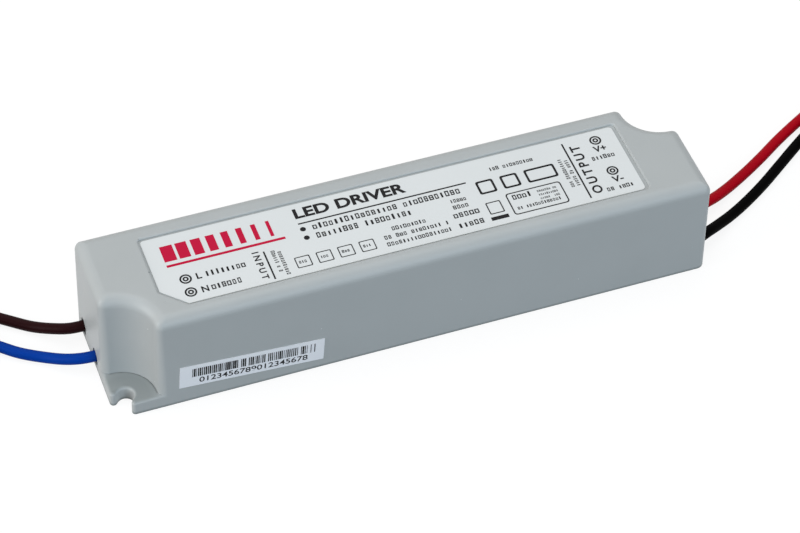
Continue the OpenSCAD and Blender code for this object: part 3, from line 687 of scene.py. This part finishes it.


# painted shade: darkens the upward faces of the ears near the slots, and a band along the foot
def painted_shade(tree, place):
    flat = add_node(tree, "ShaderNodeVectorMath", {"operation": "MULTIPLY"}, {
        0: place, 1: (1, 1, 0)})
    slot_x, slot_y = (SLOT_IN - END_X) * MM, (SLOT_IN - SIDE_Y) * MM
    far = [add_node(tree, "ShaderNodeVectorMath", {"operation": "DISTANCE"}, {
        0: flat.outputs[0], 1: (sign * slot_x, sign * slot_y, 0)}) for sign in (1, -1)]
    nearest = add_node(tree, "ShaderNodeMath", {"operation": "MINIMUM"}, {
        0: far[0].outputs["Value"], 1: far[1].outputs["Value"]})
    by_slot = add_node(tree, "ShaderNodeMapRange", {}, {
        "Value": nearest.outputs[0], "From Min": SLOT_SHADE[0] * MM,
        "From Max": SLOT_SHADE[1] * MM, "To Min": 1.0, "To Max": 0.0})
    height = add_node(tree, "ShaderNodeSeparateXYZ", {}, {"Vector": place}).outputs["Z"]
    low = add_node(tree, "ShaderNodeMapRange", {}, {
        "Value": height, "From Min": EAR_SHADE[0] * MM,
        "From Max": EAR_SHADE[1] * MM, "To Min": EAR_SHADE[2], "To Max": 0.0})
    normal = add_node(tree, "ShaderNodeNewGeometry").outputs["Normal"]
    facing = add_node(tree, "ShaderNodeSeparateXYZ", {}, {"Vector": normal}).outputs["Z"]
    upward = add_node(tree, "ShaderNodeMapRange", {}, {
        "Value": facing, "From Min": LOOKS_UP[0], "From Max": LOOKS_UP[1]})
    low_ear = add_node(tree, "ShaderNodeMath", {"operation": "MULTIPLY"}, {
        0: by_slot.outputs[0], 1: low.outputs[0]})
    on_ear = add_node(tree, "ShaderNodeMath", {"operation": "MULTIPLY"}, {
        0: low_ear.outputs[0], 1: upward.outputs[0]})
    at_foot = add_node(tree, "ShaderNodeMapRange", {}, {
        "Value": height, "From Min": FOOT_SHADE[0] * MM,
        "From Max": FOOT_SHADE[1] * MM, "To Min": FOOT_SHADE[2], "To Max": 0.0})
    return add_node(tree, "ShaderNodeMath", {"operation": "MAXIMUM"}, {
        0: on_ear.outputs[0], 1: at_foot.outputs[0]}).outputs[0]


# %% Case finish
def case_plastic():
    # moulded ABS: satin, so light spreads softly over the rounds with no sharp reflection
    material, tree, shader, place = start_material("moulded ABS, grey")
    drift = add_node(tree, "ShaderNodeTexNoise", {}, {
        "Vector": place, "Scale": 1 / (CASE_DRIFT * MM), "Detail": 4.0})
    cells = add_node(tree, "ShaderNodeTexVoronoi", {}, {
        "Vector": place, "Scale": 1 / (SPECK_SPACING * MM)})
    colour = add_node(tree, "ShaderNodeMix", {"data_type": "RGBA"}, {
        "Factor": drift.outputs["Fac"], 6: linear("#acb1b1"), 7: linear("#b5b9b9")})
    flecks = specks(tree, cells, "Green", share=0.05, size=0.045)
    dust = specks(tree, cells, "Red", share=0.3, size=0.024)
    # the first mix is painted shade on the ears and the foot; the dark flecks and bright dust are
    # real
    for amount, over in ((painted_shade(tree, place), "#6c7574"), (flecks, "#7b8385"), (dust, "#eef0f0")):
        colour = add_node(tree, "ShaderNodeMix", {"data_type": "RGBA"}, {
            "Factor": amount, 6: colour.outputs[2], 7: linear(over)})
    dress(tree, shader, place, drift, colour, roughness=0.46, grain_mm=0.35, rise_mm=0.05,
          depth=0.12)
    return material


CASE_PLASTIC = case_plastic()
print(CASE_PLASTIC.name, "has", len(CASE_PLASTIC.node_tree.nodes), "nodes")

# %% [markdown]
# The Manifold solver joins the ears and makes the cuts, because it keeps closed solids closed.
# Booleans leave long thin faces, which would pull smooth shading askew, so a Weighted Normal
# modifier lets the large flat faces set the shading.

# %% Case, joined and cut
cutters = (("UNION", ear_blank), ("DIFFERENCE", hole_cutter), ("DIFFERENCE", seam_cutter))
for way, cutter in cutters:
    modifier = case.modifiers.new(cutter.name, "BOOLEAN")
    modifier.operation = way
    modifier.solver = "MANIFOLD"
    modifier.object = cutter
case.data = made_mesh(case)
case.modifiers.clear()
for _, cutter in cutters:
    bpy.data.objects.remove(cutter)
case.data.materials.clear()
case.data.materials.append(CASE_PLASTIC)
shade(case, 32)
weigh = case.modifiers.new("weigh", "WEIGHTED_NORMAL")
weigh.keep_sharp = True
weigh.weight = 80
case.data = made_mesh(case)
case.modifiers.clear()
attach(case, "root")
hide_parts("case")
print("case:", len(case.data.polygons), "faces")

# %% [markdown]
# ## Print
# The label is satin film with black and red print. Small print is stood for by rows of short
# blocks, as in a layout sketch, and the terminals have their usual marks. A row repeats by a rule,
# so a Geometry Nodes tree makes it: a line of points, a block shape on each, and seeded sizes.

# %% Row of bars, with Geometry Nodes
FRAME = ((-0.36, 0.5, 0.28, 1.0), (0.36, 0.5, 0.28, 1.0),
         (0.0, 0.9, 0.44, 0.2), (0.0, 0.1, 0.44, 0.2))
BAR = ((0.0, 0.5, 0.5, 1.0),)
BLOCK_SHAPES = (FRAME + ((0.0, 0.5, 0.44, 0.16),), FRAME, BAR)


def block_shapes(tree):
    # instances are counted from the last link, so the plain bar is number 0
    shapes = add_node(tree, "GeometryNodeGeometryToInstance")
    for blocks in BLOCK_SHAPES:
        shape = add_node(tree, "GeometryNodeJoinGeometry")
        for x, y, w, h in blocks:
            block = add_node(tree, "GeometryNodeMeshCube", {}, {"Size": (w, h, 1.0)})
            moved = add_node(tree, "GeometryNodeTransform", {}, {
                "Geometry": block.outputs["Mesh"], "Translation": (x, y, 0.0)})
            tree.links.new(moved.outputs["Geometry"], shape.inputs["Geometry"])
        tree.links.new(shape.outputs["Geometry"], shapes.inputs["Geometry"])
    return shapes.outputs["Instances"]


def bars_tree():
    tree, given = start_tree("row of bars", {
        "Start": "Geometry", "Count": "Int", "Pitch": "Float", "Least width": "Float",
        "Most width": "Float", "Least height": "Float", "Most height": "Float",
        "Thickness": "Float", "Filled": "Float", "Last shape": "Int", "Seed": "Int",
        "Ink": "Material"}, "Bars")
    step = add_node(tree, "ShaderNodeCombineXYZ", {}, {"X": given["Pitch"]})
    row = add_node(tree, "GeometryNodeMeshLine", {"mode": "OFFSET"}, {
        "Count": given["Count"], "Offset": step.outputs[0]})
    least, most = [add_node(tree, "ShaderNodeCombineXYZ", {}, {
        "X": given[end + " width"], "Y": given[end + " height"],
        "Z": given["Thickness"]}) for end in ("Least", "Most")]
    size = add_node(tree, "FunctionNodeRandomValue", {"data_type": "FLOAT_VECTOR"}, {
        0: least.outputs[0], 1: most.outputs[0], "Seed": given["Seed"]})
    there = add_node(tree, "FunctionNodeRandomValue", {"data_type": "BOOLEAN"}, {
        "Probability": given["Filled"], "Seed": given["Seed"]})
    which = add_node(tree, "FunctionNodeRandomValue", {"data_type": "INT"}, {
        4: 0, 5: given["Last shape"], "Seed": given["Seed"]})
    placed = add_node(tree, "GeometryNodeInstanceOnPoints", {}, {
        "Points": row.outputs["Mesh"], "Selection": there.outputs[3],
        "Instance": block_shapes(tree), "Pick Instance": True,
        "Instance Index": which.outputs[2], "Scale": size.outputs[0]})
    real = add_node(tree, "GeometryNodeRealizeInstances", {}, {
        "Geometry": placed.outputs["Instances"]})
    done = add_node(tree, "GeometryNodeSetMaterial", {}, {
        "Geometry": real.outputs["Geometry"], "Material": given["Ink"]})
    add_node(tree, "NodeGroupOutput", {}, {"Bars": done.outputs["Geometry"]})
    return tree


BARS = bars_tree()
print("bars tree:", len(BARS.nodes), "nodes")

# %% [markdown]
# Screen ink is a film of about 0.02 mm. Rows come from the tree, and words from text objects that
# are made a mesh and fitted to their measured length and height.

# %% Inks, rows and words
# screen ink: flat and even, duller than the film, so it looks dark from every side
BLACK_INK = mottled("screen ink, black", "#0c0c0e", "#141416", 0.5, 0.3, 5.0, 0.05, shine=0.15)
RED_INK = mottled("screen ink, red", "#c00034", "#ca0840", 0.5, 0.3, 5.0, 0.05, shine=0.15)
INK_T = 0.02
CAP_SHARE = 0.73


def put(piece, matrix):
    piece.data.transform(matrix)
    return piece


def bars(count, pitch, widths, heights, filled, last, seed, ink):
    return grow("bars", bpy.data.meshes.new("start"), BARS, {
        "Count": count, "Pitch": pitch * MM, "Least width": widths[0] * MM,
        "Most width": widths[1] * MM, "Least height": heights[0] * MM,
        "Most height": heights[1] * MM, "Thickness": INK_T * MM, "Filled": filled,
        "Last shape": last, "Seed": seed, "Ink": ink})


def word(text, cap, length, ink, weight=0.06, spread=1.0):
    data = bpy.data.curves.new("word", "FONT")
    data.body = text
    data.size = cap / CAP_SHARE * MM
    data.space_character = spread
    data.extrude = INK_T / 2 * MM
    data.offset = weight * MM
    letters = bpy.data.objects.new("word", data)
    scene.collection.objects.link(letters)
    mesh = made_mesh(letters)
    bpy.data.objects.remove(letters)
    across, up = [[v.co[k] for v in mesh.vertices] for k in (0, 1)]
    fit = (length * MM / (max(across) - min(across)), cap * MM / (max(up) - min(up)))
    mesh.transform(Matrix.Diagonal((*fit, 1, 1)) @ Matrix.Translation((-min(across), -min(up), 0)))
    mesh.materials.clear()
    mesh.materials.append(ink)
    piece = bpy.data.objects.new("word", mesh)
    scene.collection.objects.link(piece)
    return piece


# %% [markdown]
# Rules, rings and boxes are loops of points with a thickness. All marks of one ink then become one
# piece, as one pass of the screen prints them.

# %% Flat shapes, and one piece from many
def flat_shape(loops, ink):
    bm = bmesh.new()
    for outer, inner in loops:
        rims = [[bm.verts.new(Vector((x, y, z)) * MM) for x, y in loop]
                for loop in (outer, inner) if loop for z in (-INK_T / 2, INK_T / 2)]
        for a, b in ((0, 1), (2, 3), (0, 2), (1, 3)) if inner else ((0, 1),):
            for i in range(len(outer)):
                bm.faces.new((rims[a][i - 1], rims[a][i], rims[b][i], rims[b][i - 1]))
        if not inner:
            bm.faces.new(rims[0])
            bm.faces.new(rims[1])
    return mesh_object("shape", bm, ink)


def joined(name, pieces, ink):
    bm = bmesh.new()
    for piece in pieces:
        bm.from_mesh(piece.data)
    mesh = bpy.data.meshes.new(name)
    bm.to_mesh(mesh)
    bm.free()
    mesh.materials.append(ink)
    mesh.polygons.foreach_set("material_index", [0] * len(mesh.polygons))
    for piece in pieces:
        bpy.data.objects.remove(piece)
    whole = bpy.data.objects.new(name, mesh)
    scene.collection.objects.link(whole)
    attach(whole, "root")
    print(name, len(mesh.polygons), "faces")


# %% [markdown]
# The print lies on the film, so every mark is drawn flat and lifted to the film's surface. Places
# are millimetres on the roof, measured from the middle of the case.

# %% Places and outlines on the label
FILM_T = 0.2
INK_Z = CASE_H - RECESS_D + FILM_T + INK_T / 2
BLOCK_PITCH, BLOCK_WIDTHS, BLOCK_LOW, BLOCK_FILLED, BLOCK_LAST = 0.74, (0.62, 0.84), 0.74, 0.9, 2


def at(x, y, turn=0.0):
    return (Matrix.Translation(Vector((x, y, INK_Z)) * MM)
            @ Matrix.Rotation(math.radians(turn), 4, "Z"))


def box(x0, y0, x1, y1):
    return [(x0, y0), (x1, y0), (x1, y1), (x0, y1)]


def round_box(x0, y0, x1, y1, r):
    return (arc(x1 - r, y0 + r, r, 270, 360, 5) + arc(x1 - r, y1 - r, r, 0, 90, 5)
            + arc(x0 + r, y1 - r, r, 90, 180, 5) + arc(x0 + r, y0 + r, r, 180, 270, 5))


def framed(x0, y0, x1, y1, r, line, inner_r):
    return (round_box(x0, y0, x1, y1, r),
            round_box(x0 + line, y0 + line, x1 - line, y1 - line, inner_r))


def circle(x, y, r, n):
    return [(x + r * math.cos(2 * math.pi * k / n), y + r * math.sin(2 * math.pi * k / n))
            for k in range(n)]


def small_print(x, y, length, cap, turn, seed):
    pitch = cap * BLOCK_PITCH
    row = bars(max(int(length / pitch), 2), pitch, [w * pitch for w in BLOCK_WIDTHS],
               (BLOCK_LOW * cap, cap), BLOCK_FILLED, BLOCK_LAST, seed, BLACK_INK)
    return put(row, at(x, y, turn) @ Matrix.Translation((pitch / 2 * MM, 0, 0)))


# %% Words, rings and rules on the label
black = [
    put(word("LED DRIVER", 2.9, 24.8, BLACK_INK, 0.13), at(-20.7, 4.9)),
    put(word("INPUT", 1.5, 7.9, BLACK_INK, 0.05, 1.5), at(-32.5, -1.35, -90)),
    put(word("OUTPUT", 2.2, 14.8, BLACK_INK, 0.08, 1.4), at(43.9, -8.5, 90)),
    put(word("L", 1.7, 1.1, BLACK_INK), at(-45.2, -4.7)),
    put(word("N", 1.7, 1.5, BLACK_INK), at(-45.2, -8.6)),
    put(word("V+", 1.8, 2.9, BLACK_INK), at(46.5, 2.9)),
    put(word("V-", 1.8, 2.5, BLACK_INK), at(46.9, -6.7)),
]
TERMINALS = ((-47.5, -3.89), (-47.5, -7.69), (47.95, 6.39), (47.98, -3.25))
shapes = [(circle(x, y, outer, 40), circle(x, y, inner, 40))
          for x, y in TERMINALS for outer, inner in ((1.3, 0.92), (0.64, 0.28))]
shapes += [(circle(-20.17, y, 0.62, 24), None) for y in (1.7, -0.85)]
shapes += [(box(-20.7, 3.22, 16.9, 3.58), None), (box(-30.15, -9.85, -29.8, -1.7), None),
           (box(40.42, -9.35, 40.78, 7.65), None), (box(18.3, -8.9, 22.2, -7.9), None)]
shapes += [framed(x, -8.6, x + 3.3, -5.5, 0.3, 0.22, 0.2) for x in (-24.6, -19.9, -15.2, -10.5)]
shapes += [framed(23.5, -8.9, 36.0, -2.45, 0.7, 0.28, 0.5),
           framed(18.6, -7.1, 21.9, -3.6, 0.3, 0.25, 0.2)]
shapes += [framed(x, -1.0, x + w, 2.9, 0.5, 0.5, 0.3)
           for x, w in ((18.7, 3.9), (24.2, 3.9), (29.7, 6.9))]
black.append(put(flat_shape(shapes, BLACK_INK), at(0, 0)))
print("words:", len(black) - 1, "shapes:", len(shapes))

# %% Small print and red bars
FIRST_SEED = 11
SMALL_PRINT = (  # place, length, height and turn of each row
    (-43.4, -4.55, 9.6, 1.5, 0), (-43.2, -8.45, 7.6, 1.5, 0), (-18.2, 0.95, 33.6, 1.6, 0),
    (-18.2, -1.65, 22.4, 1.6, 0), (-27.3, -2.0, 7.6, 0.85, -90), (-28.6, -2.0, 6.6, 0.85, -90),
    (-2.6, -4.7, 8.2, 1.15, 0), (-4.95, -6.75, 14.6, 1.15, 0), (-5.0, -8.75, 14.8, 1.15, 0),
    (11.7, -1.3, 4.4, 1.0, 0), (10.9, -5.7, 6.2, 1.6, 0), (10.9, -8.7, 6.2, 1.6, 0),
    (22.9, 5.0, 11.8, 1.05, 0), (38.6, -5.2, 9.4, 0.85, 90), (39.9, -5.2, 8.2, 0.85, 90),
    (45.0, 0.75, 5.6, 1.2, 0), (44.6, -8.75, 6.9, 1.2, 0), (24.6, -4.6, 4.6, 1.5, 0),
    (30.3, -4.1, 4.8, 0.6, 0), (30.3, -5.2, 4.8, 0.6, 0), (30.3, -6.3, 4.8, 0.6, 0),
    (24.6, -7.6, 10.4, 0.9, 0), (11.7, -3.2, 4.4, 1.2, 0), (-24.0, -7.4, 2.2, 0.8, 0),
    (-19.3, -7.4, 2.2, 0.8, 0), (-14.6, -7.4, 2.2, 0.8, 0), (-9.9, -7.4, 2.2, 0.8, 0))
black += [small_print(*row, FIRST_SEED + i) for i, row in enumerate(SMALL_PRINT)]
joined("label_print_black", black, BLACK_INK)
bands = [box(-50.2 + 3.3 * k, 1.9, -47.5 + 3.3 * k - 0.28 * k, 6.4) for k in range(8)]
bands.append(box(-50.2, 0.3, -24.4, 0.95))
red = [put(flat_shape([(band, None) for band in bands], RED_INK), at(0, 0))]
joined("label_print_red", red, RED_INK)

# %% [markdown]
# The serial sticker is stuck on by hand, so it leans a little. Its bar code is a row of bars with
# random widths, and the plain digits below it mean nothing.

# %% Serial print
SERIAL_L, SERIAL_H, SERIAL_T = 31.7, 6.1, 0.13
SERIAL_X, SERIAL_Z, SERIAL_TILT = 30 - END_X, 6.7, 3.9
CODE_SEED = 5
stuck = (Matrix.Translation(Vector((SERIAL_X, SERIAL_Z * LEAN - SIDE_Y, SERIAL_Z)) * MM)
         @ Matrix.Rotation(math.radians(-LEAN_DEG), 4, "X")
         @ Matrix.Rotation(math.radians(SERIAL_TILT), 4, "Y")
         @ Matrix.Translation((0, -(SERIAL_T + INK_T / 2) * MM, 0))
         @ Matrix.Rotation(math.radians(90), 4, "X"))


def on_sticker(x, y):
    return stuck @ Matrix.Translation(Vector((x - SERIAL_L / 2, SERIAL_H / 2 - y, 0)) * MM)


code = bars(64, 0.425, (0.2, 0.8), (2.4, 2.4), 0.92, 0, CODE_SEED, BLACK_INK)
digits = word("0123456789012345678", 1.5, 23.8, BLACK_INK, 0.02)
joined("serial_print", [put(code, on_sticker(2.8, 3.4)), put(digits, on_sticker(4.3, 5.35))],
       BLACK_INK)

# %% [markdown]
# ## The other surfaces
# The film of the label is pale and slightly glossy, and the sticker is matt paper. The sealed parts
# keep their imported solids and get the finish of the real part, for anyone who opens the model.

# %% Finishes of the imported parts
# after the two shades: roughness, grain in mm, drift in mm, depth of the grain, and metallic
FINISHES = {
    # moulded like the case but from a plain mould: a shade darker and duller
    "base_plate": ("moulded ABS, base", "#989d9f", "#a3a8aa", 0.5, 0.35, 12.0, 0.12),
    # poured resin: nearly black, with a skin that set slightly wavy
    "potting": ("potting resin", "#1b1c1e", "#27292c", 0.42, 0.8, 5.0, 0.2),
    # printed film: pale, very even, with a faint sheen
    "rating_label": ("polyester film", "#dde1e1", "#e3e6e6", 0.34, 0.6, 25.0, 0.03),
    # coated paper: whiter than the film and quite matt, with a fine tooth
    "serial_label": ("coated paper", "#f8faff", "#fdfdff", 0.55, 0.12, 6.0, 0.08),
    # lacquer over laminate: glossy green, uneven where tracks run below
    "circuit_board": ("solder resist, green", "#1f6a3c", "#2f8a52", 0.35, 0.4, 3.0, 0.1),
    # solder: bright domes that dull in patches
    "solder_joints": ("tin solder", "#b9bcbe", "#d5d7d8", 0.3, 0.3, 1.5, 0.15, 1.0),
    # fired ceramic: off-white and chalky
    "fuse": ("fuse ceramic", "#d3cfc0", "#e0dccd", 0.5, 0.3, 2.0, 0.1),
    # dipped epoxy: a thick glossy coat with a pebbled skin
    "varistor": ("dipped epoxy, blue", "#375a9c", "#456bb0", 0.3, 0.5, 2.5, 0.15),
    "thermistor": ("dipped epoxy, green", "#274133", "#345544", 0.35, 0.5, 2.5, 0.15),
    # moulded box: flat yellow sides with a low sheen
    "filter_capacitor": ("capacitor box, yellow", "#c2aa33", "#cfb945", 0.4, 0.3, 4.0, 0.08),
    # coated ferrite: a smooth paint over a slightly rough core
    "choke_core": ("coated ferrite, green", "#356d35", "#447f44", 0.4, 0.4, 2.0, 0.12),
    # enamelled wire: copper seen through amber lacquer, ribbed by its turns
    "choke_windings": ("enamelled copper", "#9c5526", "#bd7640", 0.28, 0.5, 1.0, 0.3, 0.7),
    # moulded epoxy: charcoal, matt and finely grained
    "bridge_rectifier": ("moulded epoxy, black", "#212325", "#2b2d2f", 0.5, 0.25, 3.0, 0.12),
    # shrunk sleeve: smooth and glossy, drawn tight over the can
    "bulk_capacitor": ("shrunk sleeve, dark", "#1b1f28", "#282d38", 0.3, 0.5, 5.0, 0.06),
    # rolled sheet: dull silver with a soft streaky shine
    "primary_heat_sink": ("rolled aluminium", "#a4a8ab", "#b7babd", 0.38, 0.2, 3.0, 0.1, 1.0),
    # sintered ferrite: dark grey and stony
    "transformer_core": ("grey ferrite", "#45474a", "#55575a", 0.55, 0.25, 2.0, 0.15),
    # phenolic: brown-black and slightly dusty
    "transformer_bobbin": ("moulded phenolic", "#35302b", "#423c36", 0.5, 0.3, 3.0, 0.1),
    # tape: glossy yellow, rippled by the wire below
    "transformer_winding": ("polyester tape, yellow", "#d2aa33", "#dfba48", 0.25, 0.6, 3.0, 0.12),
    "output_capacitors": ("shrunk sleeve, green", "#193325", "#234434", 0.3, 0.5, 5.0, 0.06),
    # lacquered resistors: sandy and softly glossy
    "resistors": ("resistor lacquer", "#c09a72", "#d0ab84", 0.4, 0.3, 2.0, 0.1),
}
SAME_FINISH = {
    "switch_transistor": "bridge_rectifier", "controller_chip": "bridge_rectifier",
    "optocoupler": "bridge_rectifier", "output_rectifier": "bridge_rectifier",
    "output_heat_sink": "primary_heat_sink", "safety_capacitor": "varistor",
    "output_choke": "transformer_core",
}
finishes = {name: mottled(*row) for name, row in FINISHES.items()}
finishes.update({name: finishes[same] for name, same in SAME_FINISH.items()})
for name, finish in finishes.items():
    nodes[name].data.materials.clear()
    nodes[name].data.materials.append(finish)
print("packed parts with a finish:", len(finishes))

# %% [markdown]
# ## Table and light
# The picture has a pure white ground. The floor here is grey to the lamps, so that it throws little
# light back at the case, and for the camera and for reflections it also glows. It then reaches
# white away from the object and still keeps a soft shadow. Light Path tells those rays apart.

# %% Floor and surroundings
FLOOR_GLOW = 0.87
WORLD_LIGHT = 0.36
FLOOR_DROP = 0.02  # keeps the floor clear of the base plate, which would flicker against it


def seen_rays(tree):
    path = add_node(tree, "ShaderNodeLightPath").outputs
    mirrored = add_node(tree, "ShaderNodeMath", {"operation": "MAXIMUM"}, {
        0: path["Is Glossy Ray"], 1: path["Is Transmission Ray"]})
    return add_node(tree, "ShaderNodeMath", {"operation": "MAXIMUM"}, {
        0: path["Is Camera Ray"], 1: mirrored.outputs[0]}).outputs[0]


def pale_floor():
    # a lit paper sweep: no grain or gloss, only a fading shadow
    material = bpy.data.materials.new("pale floor")
    material.use_nodes = True
    tree = material.node_tree
    tree.nodes.clear()
    glow = add_node(tree, "ShaderNodeMath", {"operation": "MULTIPLY"}, {
        0: seen_rays(tree), 1: FLOOR_GLOW})
    matt = add_node(tree, "ShaderNodeBsdfDiffuse", {}, {"Color": linear("#747474")})
    light = add_node(tree, "ShaderNodeEmission", {}, {
        "Color": (1, 1, 1, 1), "Strength": glow.outputs[0]})
    both = add_node(tree, "ShaderNodeAddShader", {}, {0: matt.outputs[0], 1: light.outputs[0]})
    add_node(tree, "ShaderNodeOutputMaterial", {}, {"Surface": both.outputs[0]})
    return material


bm = bmesh.new()
bmesh.ops.create_grid(bm, x_segments=1, y_segments=1, size=3.0)
floor = mesh_object("floor", bm, pale_floor())
floor.data.transform(Matrix.Translation((0, 0, -FLOOR_DROP * MM)))

world = bpy.data.worlds.new("studio")
world.use_nodes = True
scene.world = world
tree = world.node_tree
ground = tree.nodes["Background"]
mixed = add_node(tree, "ShaderNodeMapRange", {}, {
    "Value": seen_rays(tree), "To Min": WORLD_LIGHT, "To Max": 1.0})
ground.inputs["Color"].default_value = (1, 1, 1, 1)
tree.links.new(mixed.outputs["Result"], ground.inputs["Strength"])
print("floor and world:", floor.name, world.name)

# %% [markdown]
# Three round soft lamps light the case: one overhead, one low at the left that models the end wall
# and the hollow, and a cool one that fills the front. Their places are in metres.

# %% Lamps
def lamp(name, place, size, watts, colour="#ffffff"):
    data = bpy.data.lights.new(name, "AREA")
    data.shape = "DISK"
    data.size = size
    data.energy = watts
    data.color = linear(colour)[:3]
    holder = bpy.data.objects.new(name, data)
    holder.location = place
    holder.rotation_euler = (-Vector(place)).to_track_quat("-Z", "Y").to_euler()
    scene.collection.objects.link(holder)
    print("lamp:", name, watts, "W")


lamp("overhead", (0.05, 0.25, 1.15), 1.1, 5.0)
lamp("left", (-1.15, 0.05, 0.34), 0.9, 8.8)
lamp("front fill", (0.2, -1.2, 0.5), 0.9, 7.2, "#d4e9fa")
